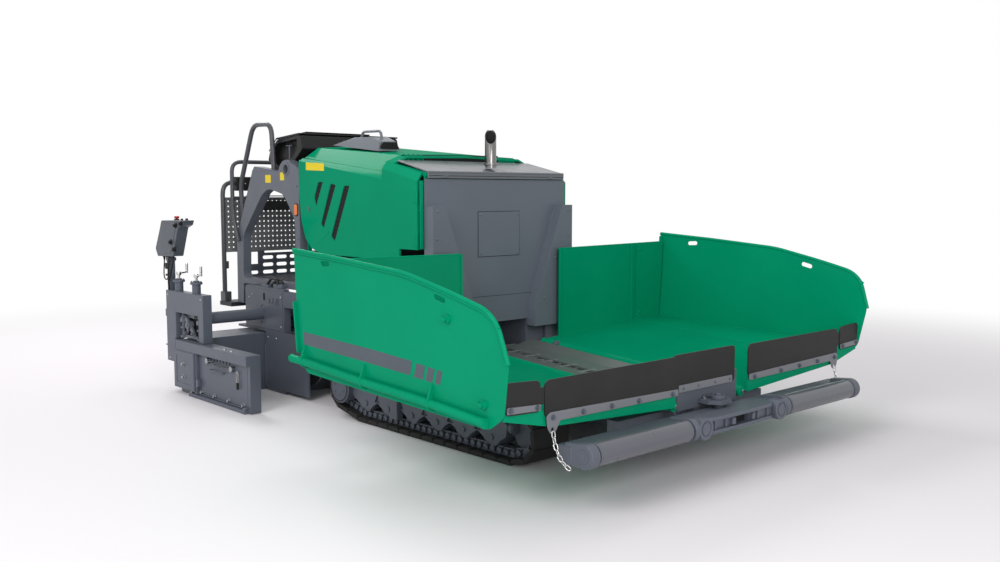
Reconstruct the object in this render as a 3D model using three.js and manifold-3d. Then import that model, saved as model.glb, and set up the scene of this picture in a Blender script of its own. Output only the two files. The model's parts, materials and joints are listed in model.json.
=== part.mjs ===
// Compact crawler asphalt paver with an extending screed.
// Millimetres, +Z up. The hopper points to -Y, so the machine's left side is +X.
// Lengths along Y are counted from the hopper's front flap and shifted once, at the end.

import * as THREE from 'three';
import { mergeVertices } from 'three/addons/utils/BufferGeometryUtils.js';
import { ConvexGeometry } from 'three/addons/geometries/ConvexGeometry.js';
import Module from 'manifold-3d';

const wasm = await Module();
wasm.setup();

// ---------- driving dimensions ----------

const GAP = 0.3;                 // between pieces that touch
const FRONT_Y = -182;            // front of the push beam's cheeks
const REAR_Y = 3738;             // rear of the control boxes
const ORIGIN_Y = (FRONT_Y + REAR_Y) / 2;

const SHEET = 8;                 // hopper plate
const FLOOR_RISE = 0.07;         // the hopper climbs towards the tractor
const HINGE_X = 264;             // wing hinge line, either side of the conveyor
const HINGE_Z = 318;
const HINGE_R = 24;
const CREASE_X = 1080;           // bend in the wing floor
const WALL_X = 1342;             // outer face of the wing wall at WALL_Z
const WALL_Z = 435;
const WALL_LEAN = 0.0707;
const FLAP_TOP = 556;
const RUBBER = 8;
const STRAP = 5;
const CENTRE_FLAP_Y = 30;        // the fixed flap stands behind the swing of the others

const TRACK_IN = 470;
const TRACK_OUT = 700;
const SHOE = 28;
const SHOE_PITCH = 120;
const IDLER = { y: 625, z: 152, r: 136 };
const SPROCKET = { y: 2062, z: 170, r: 132 };

const CHASSIS_X = 240;           // outer face of the conveyor tunnel
const BODY_X = 460;              // outer face of the tractor body
const BODY_FRONT = 1508;
const BODY_REAR = 2560;
const HOOD_X = 565;
const HOOD_FRONT = 1528;
const HOOD_REAR = 2728;
const DOOR = 12;
const DECK_Z = 712;              // operator's platform
const FRAME_IN = 500;
const FRAME_OUT = 560;

const BEAM = { y: -130, z: 260, r: 52 };
const ROLLER_R = 49;
const ROLLER_IN = 388;
const ROLLER_OUT = 986;
const PIVOT_Y = -20;

const TOW = { y: 1560, z: 610 }; // the screed lifts about this line
const SCREED_X = 615;
const SCREED_FRONT = 2850;
const GUIDE = { y: 3130, z: 498, r: 38 };
const END_IN = 996;
const END_OUT = 1091;
const AUGER = { y: 2705, z: 190, r: 122, shaft: 30, pitch: 200 };

// ---------- colours ----------

const paint = (color, roughness, metalness) =>
  new THREE.MeshStandardMaterial({ color, roughness, metalness });

const green = paint(0x00936b, 0.35, 0.0);
const grey = paint(0x5a5f69, 0.5, 0.2);
const darkGrey = paint(0x3a3e45, 0.55, 0.2);
const lightGrey = paint(0x7d8088, 0.35, 0.3);
const blackPlastic = paint(0x1c1b1c, 0.6, 0.0);
const rubber = paint(0x2a2929, 0.85, 0.0);
const steel = paint(0x9a958c, 0.3, 0.9);

// ---------- solids ----------

const toSolid = (geometry) => {
  const bare = geometry.clone();
  bare.deleteAttribute('normal');
  bare.deleteAttribute('uv');
  const merged = mergeVertices(bare, 1e-4);
  return new wasm.Manifold(new wasm.Mesh({
    numProp: 3,
    vertProperties: Float32Array.from(merged.attributes.position.array),
    triVerts: Uint32Array.from(merged.index.array),
  }));
};

const toGeometry = (solid) => {
  const mesh = solid.getMesh();
  const geometry = new THREE.BufferGeometry();
  geometry.setAttribute('position', new THREE.BufferAttribute(mesh.vertProperties, 3));
  geometry.setIndex(new THREE.BufferAttribute(mesh.triVerts, 1));
  return geometry;
};

const join = (...parts) =>
  toGeometry(parts.flat().map(toSolid).reduce((whole, part) => whole.add(part)));

const cut = (body, ...holes) =>
  toGeometry(holes.flat().map(toSolid).reduce((rest, hole) => rest.subtract(hole), toSolid(body)));

const mirrored = (geometry) => {
  const copy = geometry.index ? geometry.clone() : mergeVertices(geometry);
  copy.scale(-1, 1, 1);
  const index = copy.index.array;
  for (let i = 0; i < index.length; i += 3) {
    [index[i], index[i + 1]] = [index[i + 1], index[i]];
  }
  return copy;
};

const bothSides = (geometry) => [geometry, mirrored(geometry)];

const block = (x0, x1, y0, y1, z0, z1) =>
  new THREE.BoxGeometry(x1 - x0, y1 - y0, z1 - z0)
    .translate((x0 + x1) / 2, (y0 + y1) / 2, (z0 + z1) / 2);

const hull = (...points) => new ConvexGeometry(points.map((p) => new THREE.Vector3(...p)));

const shapeOf = (points) => new THREE.Shape(points.map(([u, v]) => new THREE.Vector2(u, v)));

const extruded = (points, depth) =>
  new THREE.ExtrudeGeometry(shapeOf(points), { depth, bevelEnabled: false });

// points are (y, z), extruded from x0 to x1
const sideProfile = (points, x0, x1) => {
  const turn = new THREE.Matrix4().makeBasis(
    new THREE.Vector3(0, 1, 0), new THREE.Vector3(0, 0, 1), new THREE.Vector3(1, 0, 0));
  return extruded(points, x1 - x0).applyMatrix4(turn).translate(x0, 0, 0);
};

// points are (x, z), extruded from y0 to y1
const frontProfile = (points, y0, y1) => {
  const turn = new THREE.Matrix4().makeBasis(
    new THREE.Vector3(1, 0, 0), new THREE.Vector3(0, 0, 1), new THREE.Vector3(0, -1, 0));
  return extruded(points, y1 - y0).applyMatrix4(turn).translate(0, y1, 0);
};

// points are (x, y), extruded from z0 to z1
const planProfile = (points, z0, z1) => extruded(points, z1 - z0).translate(0, 0, z0);

const rod = (from, to, radius, sides = 10) => {
  const start = new THREE.Vector3(...from);
  const along = new THREE.Vector3(...to).sub(start);
  const turn = new THREE.Quaternion().setFromUnitVectors(
    new THREE.Vector3(0, 1, 0), along.clone().normalize());
  return new THREE.CylinderGeometry(radius, radius, along.length(), sides)
    .applyQuaternion(turn)
    .translate(...start.addScaledVector(along, 0.5).toArray());
};

const roundedPath = (points, bend) => {
  const corners = points.map((p) => new THREE.Vector3(...p));
  const path = new THREE.CurvePath();
  let from = corners[0];
  for (let i = 1; i < corners.length - 1; i += 1) {
    const before = corners[i].clone().addScaledVector(
      corners[i - 1].clone().sub(corners[i]).normalize(), bend);
    const after = corners[i].clone().addScaledVector(
      corners[i + 1].clone().sub(corners[i]).normalize(), bend);
    path.add(new THREE.LineCurve3(from, before));
    path.add(new THREE.QuadraticBezierCurve3(before, corners[i], after));
    from = after;
  }
  path.add(new THREE.LineCurve3(from, corners.at(-1)));
  return path;
};

const circle = (radius, sides) => Array.from({ length: sides }, (_, i) => {
  const angle = (2 * Math.PI * i) / sides;
  return [radius * Math.cos(angle), radius * Math.sin(angle)];
});

const pipe = (points, radius, bend, steps, sides = 8) =>
  new THREE.ExtrudeGeometry(shapeOf(circle(radius, sides)), {
    steps,
    extrudePath: roundedPath(points, bend),
    bevelEnabled: false,
  });

// ---------- the object ----------

const machine = new THREE.Group();

const add = (name, geometry, material) => {
  const mesh = new THREE.Mesh(geometry, material);
  mesh.name = name;
  machine.add(mesh);
};

const addPair = (name, geometry, material) => {
  add(`${name}_left`, geometry, material);
  add(`${name}_right`, mirrored(geometry), material);
};

const climb = (z, y) => z + FLOOR_RISE * y;

// ---------- chassis ----------

const tunnelSides = () => bothSides(sideProfile([
  [45, 230], [110, 160], [BODY_REAR, 160], [BODY_REAR, 560],
  [BODY_FRONT, 560], [BODY_FRONT, climb(312, BODY_FRONT)], [48, climb(312, 48)],
], CHASSIS_X - 15, CHASSIS_X));

const chainGuard = () => {
  const strip = (y) => [
    [150, y, climb(290, y)], [150, y, climb(298, y)],
    [CHASSIS_X - 6, y, climb(314, y)], [CHASSIS_X - 6, y, climb(322, y)],
  ];
  return hull(...strip(50), ...strip(BODY_FRONT - 20));
};

const knuckle = (y0, y1) => [
  rod([HINGE_X, y0, climb(HINGE_Z, y0)], [HINGE_X, y1, climb(HINGE_Z, y1)], HINGE_R),
  block(CHASSIS_X - 4, HINGE_X, y0 + 2, y1 - 2, climb(HINGE_Z, y0) - 14, climb(HINGE_Z, y0) + 10),
];

const KNUCKLES = [[92, 130], [1262, 1300]];

const frontCrossMember = () => [
  block(-560, 560, 110, 170, 205, 285),
  block(-75, 75, 60, 140, 190, 330),
  planProfile([[-75, 110], [-75, -20], [-40, -72], [40, -72], [75, -20], [75, 110]], 312, 330),
  planProfile([[-60, 110], [-60, -50], [60, -50], [60, 110]], 190, 202),
  rod([0, PIVOT_Y, 190], [0, PIVOT_Y, 342], 22),
];

const centreLip = () => block(
  -CHASSIS_X + 10, CHASSIS_X - 10, CENTRE_FLAP_Y + RUBBER + GAP, CENTRE_FLAP_Y + 22, 292, 436);

const tractorBody = () => {
  const wall = 14;
  const side = bothSides([
    block(BODY_X - wall, BODY_X, BODY_FRONT, BODY_REAR + 150, 336, 905),
    block(CHASSIS_X - 2, BODY_X, BODY_FRONT, BODY_REAR, 330, 342),
    block(BODY_X - 10, HOOD_X - 5, BODY_FRONT, HOOD_REAR - 30, 892, 905),
    block(CHASSIS_X - 2, BODY_X, BODY_FRONT + 10, BODY_FRONT + 22, 340, 905),
    block(CHASSIS_X - 2, BODY_X, BODY_REAR - 12, BODY_REAR, 340, 600),
    block(400, BODY_X, BODY_REAR, 2860, 590, 671.7),
  ].reduce((whole, part) => join(whole, part)));
  return [
    ...side,
    block(-CHASSIS_X + 2, CHASSIS_X - 2, BODY_FRONT, BODY_REAR + 150, 560, 570),
    block(-BODY_X + 2, BODY_X - 2, BODY_REAR + 138, BODY_REAR + 150, 560, 905),
  ];
};

const chassis = () => join(
  tunnelSides(),
  bothSides(chainGuard()),
  KNUCKLES.flatMap(([y0, y1]) => knuckle(y0, y1).flatMap(bothSides)),
  frontCrossMember(),
  centreLip(),
  block(-CHASSIS_X + 2, CHASSIS_X - 2, 110, BODY_REAR, 160, 172),
  bothSides(rod([CHASSIS_X - 8, 900, 165], [484, 900, 165], 45)),
  bothSides(rod([CHASSIS_X - 8, 1760, 165], [484, 1760, 165], 45)),
  tractorBody(),
  bothSides(rod([BODY_X - 8, TOW.y, TOW.z], [616, TOW.y, TOW.z], 25)),
  bothSides(block(BODY_X - 10, 566, TOW.y - 45, TOW.y + 60, TOW.z - 60, TOW.z + 60)),
  block(-18, 18, BODY_REAR - 20, AUGER.y + 45, 150, 300),
);

add('chassis_frame', chassis(), grey);

// conveyor: floor plate with carrying bars
const conveyor = () => {
  const bars = [];
  for (let y = 240; y < 2500; y += 140) {
    const z = y < BODY_FRONT ? climb(284, y) : climb(284, BODY_FRONT);
    bars.push(block(-146, 146, y, y + 24, z - 6, z + 14));
  }
  const tray = sideProfile([
    [180, climb(272, 180)], [BODY_FRONT, climb(272, BODY_FRONT)], [BODY_REAR, climb(272, BODY_FRONT)],
    [BODY_REAR, climb(284, BODY_FRONT)], [BODY_FRONT, climb(284, BODY_FRONT)], [180, climb(284, 180)],
  ], -146, 146);
  return join(tray, bars);
};

add('conveyor', conveyor(), darkGrey);
add('engine_block', block(-260, 260, 1760, 2460, 572, 1180), darkGrey);

// ---------- front plate, lid and hood ----------

const chuteRib = () => join(
  frontProfile([[535, 1215], [452, 1215], [228, 620], [228, 506], [535, 506]], 1430, 1438),
  frontProfile([[460, 1215], [452, 1215], [228, 620], [228, 506], [236, 506], [236, 618]], 1430, 1498),
  block(452, 535, 1430, 1498, 1207, 1215),
  block(527, 535, 1430, 1498, 506, 1215),
);

const frontPlate = () => join(
  frontProfile([
    [-535, 1361], [-535, 520], [-228, 520], [-228, 548], [228, 548], [228, 520], [535, 520], [535, 1361],
  ], 1497, 1507),
  bothSides(chuteRib()),
  block(-158, 158, 1494, 1498, 928, 1180),
);

add('front_plate', frontPlate(), grey);

const LID = { front: 1490, rear: 1785, frontZ: 1402, rearZ: 1470, x: 503 };

const frontLid = () => join(
  block(-520, 520, LID.front - 2, LID.front + 7, 1362, LID.frontZ),
  hull(
    [-LID.x, LID.front, LID.frontZ - 12], [LID.x, LID.front, LID.frontZ - 12],
    [-LID.x, LID.front, LID.frontZ], [LID.x, LID.front, LID.frontZ],
    [-LID.x + 13, LID.rear, LID.rearZ - 12], [LID.x - 13, LID.rear, LID.rearZ - 12],
    [-LID.x + 13, LID.rear, LID.rearZ], [LID.x - 13, LID.rear, LID.rearZ],
  ),
);

add('front_lid', frontLid(), lightGrey);

const EXHAUST = { x: 0, y: 1569, z: 1430, r: 33, top: 1647 };

const exhaust = () => cut(
  join(
    rod([EXHAUST.x, EXHAUST.y, EXHAUST.z], [EXHAUST.x, EXHAUST.y, EXHAUST.top], EXHAUST.r, 16),
    rod([EXHAUST.x, EXHAUST.y, EXHAUST.z], [EXHAUST.x, EXHAUST.y, EXHAUST.z + 22], EXHAUST.r + 7, 16),
  ),
  rod([EXHAUST.x, EXHAUST.y, EXHAUST.z + 30], [EXHAUST.x, EXHAUST.y, EXHAUST.top + 5], EXHAUST.r - 4, 16),
  hull(
    [-60, 1500, 1560], [60, 1500, 1560], [-60, 1500, 1700], [60, 1500, 1700],
    [-60, 1602, 1655], [60, 1602, 1655], [-60, 1602, 1700], [60, 1602, 1700],
  ),
);

add('exhaust_pipe', exhaust(), steel);

// roof edge and crown heights along the hood
const ROOF = {
  kick: 1848,
  front: { y: 1790, edge: 1450, mid: 1492, crown: 1502 },
  kickFront: { y: 1848, edge: 1463, mid: 1502, crown: 1514 },
  kickRear: { y: 1848, edge: 1402, mid: 1500, crown: 1514 },
  rear: { y: 2712, edge: 1503, mid: 1568, crown: 1592 },
};

const roofPanel = (a, b) => {
  const edgeX = 526;
  const midX = 430;
  const plate = (xa, ka, xb, kb) => hull(
    [xa, a.y, a[ka]], [xb, a.y, a[kb]], [xa, b.y, b[ka]], [xb, b.y, b[kb]],
    [xa, a.y, a[ka] - 12], [xb, a.y, a[kb] - 12], [xa, b.y, b[ka] - 12], [xb, b.y, b[kb] - 12]);
  return [
    ...bothSides(plate(edgeX, 'edge', midX, 'mid')),
    ...bothSides(plate(midX + 1, 'mid', 0, 'crown')),
  ];
};

const hoodTop = () => {
  const shoulder = hull(
    [508, 1500, 1374], [526, 1500, 1374], [508, 1500, 1394], [526, 1500, 1394],
    [508, 1800, 1428], [526, 1800, 1428], [508, 1800, 1452], [526, 1800, 1452]);
  return join(
    roofPanel(ROOF.front, ROOF.kickFront),
    roofPanel(ROOF.kickRear, ROOF.rear),
    frontProfile([[-526, 1300], [526, 1300], [526, 1460], [430, 1500], [-430, 1500], [-526, 1460]],
      1840, 1852),
    bothSides(shoulder),
    frontProfile([
      [-546, 1050], [-500, 960], [500, 960], [546, 1050], [546, 1440],
      [516, 1496], [430, 1566], [0, 1590], [-430, 1566], [-516, 1496], [-546, 1440],
    ], 2698, 2712),
    bothSides(block(500, 526, BODY_FRONT + GAP, BODY_FRONT + 10, 905 + GAP, 1390)),
    bothSides(block(500, 526, 2690, 2700, 905 + GAP, 1480)),
  );
};

add('hood_top', hoodTop(), green);

const hoodDoor = () => {
  const lower = 915;
  const outline = [
    [HOOD_FRONT, lower + 65], [1690, lower + 65], [1692, lower], [2470, lower], [2594, 948],
    [2662, 1011], [2704, 1117], [HOOD_REAR, 1295], [HOOD_REAR - 4, 1484],
    [1850, 1362], [1846, 1421], [HOOD_FRONT, 1350],
  ];
  const shoulder = (ya, sa, ca, yb, sb, cb) => hull(
    [HOOD_X, ya, sa], [HOOD_X, yb, sb], [HOOD_X - DOOR, ya, sa], [HOOD_X - DOOR, yb, sb],
    [533, ya, ca], [533, yb, cb], [533, ya, ca - 14], [533, yb, cb - 14]);
  return join(
    sideProfile(outline, HOOD_X - DOOR, HOOD_X),
    shoulder(HOOD_FRONT, 1349.5, 1395, 1846, 1420, 1463),
    shoulder(1852, 1361.5, 1402, HOOD_REAR - 4, 1483, 1503),
  );
};

addPair('hood_door', hoodDoor(), green);

const intakeCover = () => {
  const hump = hull(
    [-400, 2110, 1530], [-235, 2110, 1538], [-375, 2130, 1588], [-260, 2130, 1592],
    [-400, 2590, 1580], [-235, 2590, 1588], [-375, 2520, 1598], [-260, 2520, 1602],
    [-375, 2390, 1622], [-260, 2390, 1624], [-375, 2200, 1616], [-260, 2200, 1620]);
  const roofCut = hull(
    [-430, 1800, 1499], [0, 1800, 1513], [-430, 2712, 1568.6], [0, 2712, 1592.6],
    [-430, 1800, 1400], [0, 1800, 1400], [-430, 2712, 1400], [0, 2712, 1400]);
  return join(
    cut(hump, roofCut, block(-362, -273, 2100, 2180, 1550, 1582)),
    pipe([[-318, 2186, 1604], [-318, 2196, 1655], [-318, 2385, 1658], [-318, 2400, 1608]], 9, 24, 14, 6),
  );
};

add('intake_cover', intakeCover(), lightGrey);

// ---------- tracks ----------

// the belt's outline, offset outwards by d from the line on which the shoes' soles lie
const trackLoop = (d, count) => {
  const arc = (wheel, from, to) => Array.from({ length: count }, (_, i) => {
    const angle = THREE.MathUtils.degToRad(from + ((to - from) * i) / (count - 1));
    return [wheel.y + (wheel.r + d) * Math.cos(angle), wheel.z + (wheel.r + d) * Math.sin(angle)];
  });
  return [
    [700, -d], [1885, -d],
    ...arc(SPROCKET, -84, 91),
    ...arc(IDLER, 91, 256),
  ];
};

const pointsAlong = (loop, pitch) => {
  const path = new THREE.CurvePath();
  loop.forEach(([u, v], i) => {
    const [nextU, nextV] = loop[(i + 1) % loop.length];
    path.add(new THREE.LineCurve(new THREE.Vector2(u, v), new THREE.Vector2(nextU, nextV)));
  });
  const count = Math.round(path.getLength() / pitch);
  return Array.from({ length: count }, (_, i) => {
    const along = i / count;
    return { at: path.getPointAt(along), dir: path.getTangentAt(along) };
  });
};

const track = () => {
  const shoes = pointsAlong(trackLoop(0, 10), SHOE_PITCH).flatMap(({ at, dir }) => {
    const groove = 4;
    const depth = SHOE * 0.55;
    const inward = new THREE.Vector2(-dir.y, dir.x);
    const corner = (s, d) => [at.x + dir.x * s + inward.x * d, at.y + dir.y * s + inward.y * d];
    return [corner(-groove, 0), corner(-groove * 0.6, depth), corner(groove * 0.6, depth), corner(groove, 0)];
  });
  const ring = shapeOf(shoes);
  ring.holes.push(new THREE.Path(
    trackLoop(-SHOE - 34, 8).map(([u, v]) => new THREE.Vector2(u, v))));
  const turn = new THREE.Matrix4().makeBasis(
    new THREE.Vector3(0, 1, 0), new THREE.Vector3(0, 0, 1), new THREE.Vector3(1, 0, 0));
  return new THREE.ExtrudeGeometry(ring, { depth: TRACK_OUT - TRACK_IN, bevelEnabled: false })
    .applyMatrix4(turn).translate(TRACK_IN, 0, 0);
};

addPair('track', track(), rubber);

const trackFrame = () => {
  const beltIn = SHOE + 34 + 3;
  const rollers = [];
  for (let y = 780; y < 1900; y += 265) {
    rollers.push(rod([500, y, beltIn + 42], [670, y, beltIn + 42], 42));
  }
  return join(
    sideProfile([
      [760, 116], [1880, 116], [2020, 150], [2020, 200], [1880, 226], [760, 226], [640, 190], [640, 120],
    ], 490, 672),
    rollers,
    rod([500, IDLER.y, IDLER.z], [670, IDLER.y, IDLER.z], IDLER.r - beltIn - 2, 16),
    rod([500, SPROCKET.y, SPROCKET.z], [690, SPROCKET.y, SPROCKET.z], SPROCKET.r - beltIn - 2, 16),
    rod([TRACK_OUT + 4, SPROCKET.y, SPROCKET.z + 8], [TRACK_OUT + 26, SPROCKET.y, SPROCKET.z + 8], 92, 16),
    rod([680, SPROCKET.y, SPROCKET.z], [TRACK_OUT + 10, SPROCKET.y, SPROCKET.z], 60),
  );
};

addPair('track_frame', trackFrame(), grey);

// ---------- push beam and rollers ----------

const rollerCheek = (x0, x1) => [
  rod([x0, BEAM.y, BEAM.z], [x1, BEAM.y, BEAM.z], BEAM.r, 16),
  block(x0, x1, BEAM.y, -40, BEAM.z - 50, BEAM.z + 40),
];

const pushBeam = () => cut(
  join(
    block(-1045, 1045, -72, 8, 218, 290),
    bothSides(join(rollerCheek(ROLLER_OUT + 5, 1045))),
    bothSides(join(rollerCheek(341, ROLLER_IN - 7))),
    planProfile([
      [-345, -165], [-90, -165], [-60, -182 + 20], [60, -182 + 20], [90, -165], [345, -165],
      [345, -60], [-345, -60],
    ], 222, 298),
  ),
  bothSides(rod([330, BEAM.y, BEAM.z], [1020, BEAM.y, BEAM.z], 20)),
  rod([0, PIVOT_Y, 150], [0, PIVOT_Y, 350], 24),
  block(-70, 70, -190, -120, 240, 282),
);

add('push_beam', pushBeam(), grey);

const pushRoller = () => join(
  rod([ROLLER_IN, BEAM.y, BEAM.z], [ROLLER_OUT, BEAM.y, BEAM.z], ROLLER_R, 16),
  rod([350, BEAM.y, BEAM.z], [1012, BEAM.y, BEAM.z], 18),
);

addPair('push_roller', pushRoller(), grey);

// ---------- hopper wings ----------

// top of the wing floor at its hinge edge, its crease and its outer edge
const FLOOR_EDGE_X = 284;
const floorEdge = (y) => [FLOOR_EDGE_X, y, climb(330, y)];
const floorCrease = (y) => [CREASE_X, y, 372 + 0.0795 * y];
const floorOuter = (y) => [WALL_X - SHEET - 1.5, y, 430 + 0.0425 * y];

const lowered = ([x, y, z], by) => [x, y, z - by];

const knuckleNotches = () => KNUCKLES.map(([y0, y1]) =>
  block(HINGE_X, FLOOR_EDGE_X + 8, y0 - 5, y1 + 5, climb(HINGE_Z, y0) - 40, climb(HINGE_Z, y0) + 40));

const floorPanel = (inner, outer, y0, y1) => {
  const top = [inner(y0), outer(y0), inner(y1), outer(y1)];
  return hull(...top, ...top.map((p) => lowered(p, SHEET)));
};

const wingFloor = (rearY) => {
  const y0 = RUBBER + GAP;
  const y1 = rearY - GAP;
  const hingeRuns = [[y0 + 22, KNUCKLES[0][0] - 6], [KNUCKLES[0][1] + 6, KNUCKLES[1][0] - 6],
    [KNUCKLES[1][1] + 6, y1]];
  const lip = frontProfile([
    [FLOOR_EDGE_X, 322], [CREASE_X, 364], [WALL_X - SHEET - 1.5, 421],
    [WALL_X - SHEET - 1.5, 470], [1150, 450], [1130, 436], [FLOOR_EDGE_X, 436],
  ], y0, y0 + 7);
  const ribs = [420, 900].map((y) => hull(
    [330, y, climb(300, y)], [330, y + 10, climb(300, y)], [330, y, climb(322, y)], [330, y + 10, climb(322, y)],
    [1250, y, 395 + 0.05 * y], [1250, y + 10, 395 + 0.05 * y],
    [1250, y, 405 + 0.05 * y], [1250, y + 10, 405 + 0.05 * y],
    [CREASE_X, y, 330 + 0.0795 * y], [CREASE_X, y + 10, 330 + 0.0795 * y],
    [CREASE_X, y, 366 + 0.0795 * y], [CREASE_X, y + 10, 366 + 0.0795 * y],
  ));
  return join(
    cut(floorPanel(floorEdge, floorCrease, y0, y1), knuckleNotches()),
    floorPanel(floorCrease, floorOuter, y0, y1),
    lip,
    ribs,
    hingeRuns.map(([a, b]) =>
      rod([HINGE_X, a, climb(HINGE_Z, a)], [HINGE_X, b, climb(HINGE_Z, b)], HINGE_R)),
  );
};

const WALL_TOP = [[1427, 1018], [1014, 993], [558, 958], [264, 896], [68, 848], [6, 798], [-42, 648]];
const WALL_OUTLINE = [...WALL_TOP, [0, 436], [91, 375], [1395, 426], [1450, 515]];
const TUBE_LINE = [[1490, 488], [1300, 480], [948, 456], [456, 434], [89, 406]];

const leaned = (geometry) => {
  const shear = new THREE.Matrix4().set(
    1, 0, WALL_LEAN, -WALL_LEAN * WALL_Z,
    0, 1, 0, 0,
    0, 0, 1, 0,
    0, 0, 0, 1);
  return geometry.applyMatrix4(shear);
};

const wingWall = () => {
  const rim = pipe(WALL_TOP.map(([y, z]) => [WALL_X - 1, y, z]), 10, 26, 12, 6);
  const tubeX = WALL_X + 17;
  const tube = pipe(TUBE_LINE.map(([y, z]) => [tubeX, y, z]), 20, 30, 6);
  const gussets = [[1380, 484], [894, 453], [417, 431]].map(([y, z]) => hull(
    [WALL_X - 3, y, z - 34], [WALL_X - 3, y + 8, z - 34], [WALL_X - 3, y, z + 72], [WALL_X - 3, y + 8, z + 72],
    [tubeX + 16, y, z - 20], [tubeX + 16, y + 8, z - 20], [tubeX + 16, y, z + 14], [tubeX + 16, y + 8, z + 14]));
  return join(
    leaned(sideProfile(WALL_OUTLINE, WALL_X - SHEET, WALL_X)),
    leaned(rim),
    leaned(tube),
    gussets.map(leaned),
  );
};

const rearPanel = (rearY) => frontProfile([
  [391, 956], [391, 405], [CREASE_X, 462], [WALL_X - SHEET - 2, 474], [WALL_X + 27, 966],
], rearY, rearY + SHEET);

const flapRubber = () => join(
  block(275, 1120, 0, RUBBER, 394, FLAP_TOP),
  block(1110, 1150, 2, RUBBER, 455, 535),
  frontProfile([[1143, 432], [1328, 438], [1334, 572], [1143, 560]], 0, RUBBER),
);

const flapStrap = () => join(
  frontProfile([
    [280, 379], [280, 409], [1094, 426], [1113, 412], [1106, 365], [1092, 338], [1064, 344], [1040, 386],
  ], -STRAP - GAP, -GAP),
  frontProfile([[1090, 400], [1113, 410], [1176, 430], [1328, 442], [1328, 478], [1176, 466], [1090, 424]],
    -STRAP - GAP, -GAP),
);

const sides = [
  { name: 'left', rearY: 1399, side: (geometry) => geometry },
  { name: 'right', rearY: 1364, side: mirrored },
];

for (const { name, rearY, side } of sides) {
  add(`hopper_floor_${name}`, side(wingFloor(rearY)), green);
  add(`hopper_wall_${name}`, side(wingWall()), green);
  add(`hopper_rear_${name}`, side(rearPanel(rearY)), green);
  add(`flap_${name}`, side(flapRubber()), rubber);
  add(`flap_strap_${name}`, side(flapStrap()), grey);
}

add('flap_centre',
  block(-268, 205, CENTRE_FLAP_Y, CENTRE_FLAP_Y + RUBBER, 380, FLAP_TOP), rubber);
add('flap_strap_centre',
  block(-244, 178, CENTRE_FLAP_Y - STRAP - GAP, CENTRE_FLAP_Y - GAP, 381, 415), grey);

// ---------- operator's platform ----------

// only the right side frame carries a grab hoop
const sideFrame = (hooped) => {
  const outline = [
    [2736, 672], [3475, 672], [3478, 535], [3562, 535], [3558, 980], [3330, 1420], [3290, 1456],
    [2979, 1424], [2966, 1462], [2930, 1488], [2890, 1496], [2850, 1488], [2814, 1466], [2736, 1436],
  ];
  const opening = [
    [2790, DECK_Z], [3474, DECK_Z], [3463, 1004], [3194, 1281], [3113, 1314], [2921, 1275], [2790, 1115],
  ];
  const eye = rod([FRAME_IN - 5, 2890, 1436], [FRAME_OUT + 5, 2890, 1436], 30);
  const hoopX = (FRAME_IN + FRAME_OUT) / 2;
  const hoop = pipe([
    [hoopX, 3505, 1070], [hoopX, 3545, 1330], [hoopX, 3352, 1738], [hoopX, 3115, 1732], [hoopX, 3090, 1430],
  ], 16, 60, 14, 6);
  const frame = cut(
    sideProfile(outline, FRAME_IN, FRAME_OUT),
    sideProfile(opening, FRAME_IN - 5, FRAME_OUT + 5),
    eye,
  );
  return hooped ? join(frame, hoop) : frame;
};

add('side_frame_left', sideFrame(false), grey);
add('side_frame_right', mirrored(sideFrame(true)), grey);

add('platform_deck', join(
  block(-FRAME_IN + GAP, FRAME_IN - GAP, 2736, 3475, 700, DECK_Z),
  block(-FRAME_IN + GAP, FRAME_IN - GAP, 2736, 2778, 676, 705),
  block(-FRAME_IN + GAP, FRAME_IN - GAP, 3433, 3475, 676, 705),
), darkGrey);

const backRest = () => {
  const postX = FRAME_OUT + GAP + 14;
  return join(
    pipe([[postX, 3505, 960], [postX, 3580, 1150], [postX, 3580, 1498], [-postX, 3580, 1498],
      [-postX, 3580, 1150], [-postX, 3505, 960]], 14, 70, 20),
    block(-postX, postX, 3570, 3586, 1300, 1396),
  );
};

add('back_rest', backRest(), grey);

const console = () => join(
  sideProfile([[3215, 1500], [3190, 1560], [3100, 1630], [2815, 1652], [2790, 1560], [2960, 1430], [3060, 1410]],
    -500, 260),
  block(-260, 40, 2820, 2980, DECK_Z + GAP, 1560),
);

add('operator_console', console(), blackPlastic);

// ---------- screed ----------

const screedBody = () => join(
  block(-SCREED_X, SCREED_X, SCREED_FRONT, 3090, 0, 395),
  bothSides(block(568, SCREED_X, SCREED_FRONT, 3350, 390, 660)),
  block(-SCREED_X + 2, SCREED_X - 2, SCREED_FRONT, 3460, 386, 400),
  block(-484, 484, 3440, 3460, 386, 512),
  bothSides(block(604, SCREED_X, 2570, SCREED_FRONT + 5, 20, 396)),
);

const screedWithGuides = () => cut(
  join(
    screedBody(),
    rod([-SCREED_X, GUIDE.y, GUIDE.z], [SCREED_X, GUIDE.y, GUIDE.z], GUIDE.r + 14, 16),
    bothSides(block(480, 500, GUIDE.y - 50, GUIDE.y + 50, 398, GUIDE.z)),
  ),
  rod([-SCREED_X - 5, GUIDE.y, GUIDE.z], [SCREED_X + 5, GUIDE.y, GUIDE.z], GUIDE.r + 6, 16),
);

add('screed_body', screedWithGuides(), darkGrey);

const towArm = () => cut(
  join(
    sideProfile([
      [TOW.y - 10, TOW.z - 44], [SCREED_FRONT - GAP, 560], [SCREED_FRONT - GAP, 660],
      [TOW.y - 10, TOW.z + 44],
    ], 575, SCREED_X),
    rod([575, TOW.y, TOW.z], [SCREED_X, TOW.y, TOW.z], 46),
  ),
  rod([560, TOW.y, TOW.z], [SCREED_X + 20, TOW.y, TOW.z], 27),
);

addPair('tow_arm', towArm(), grey);

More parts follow.
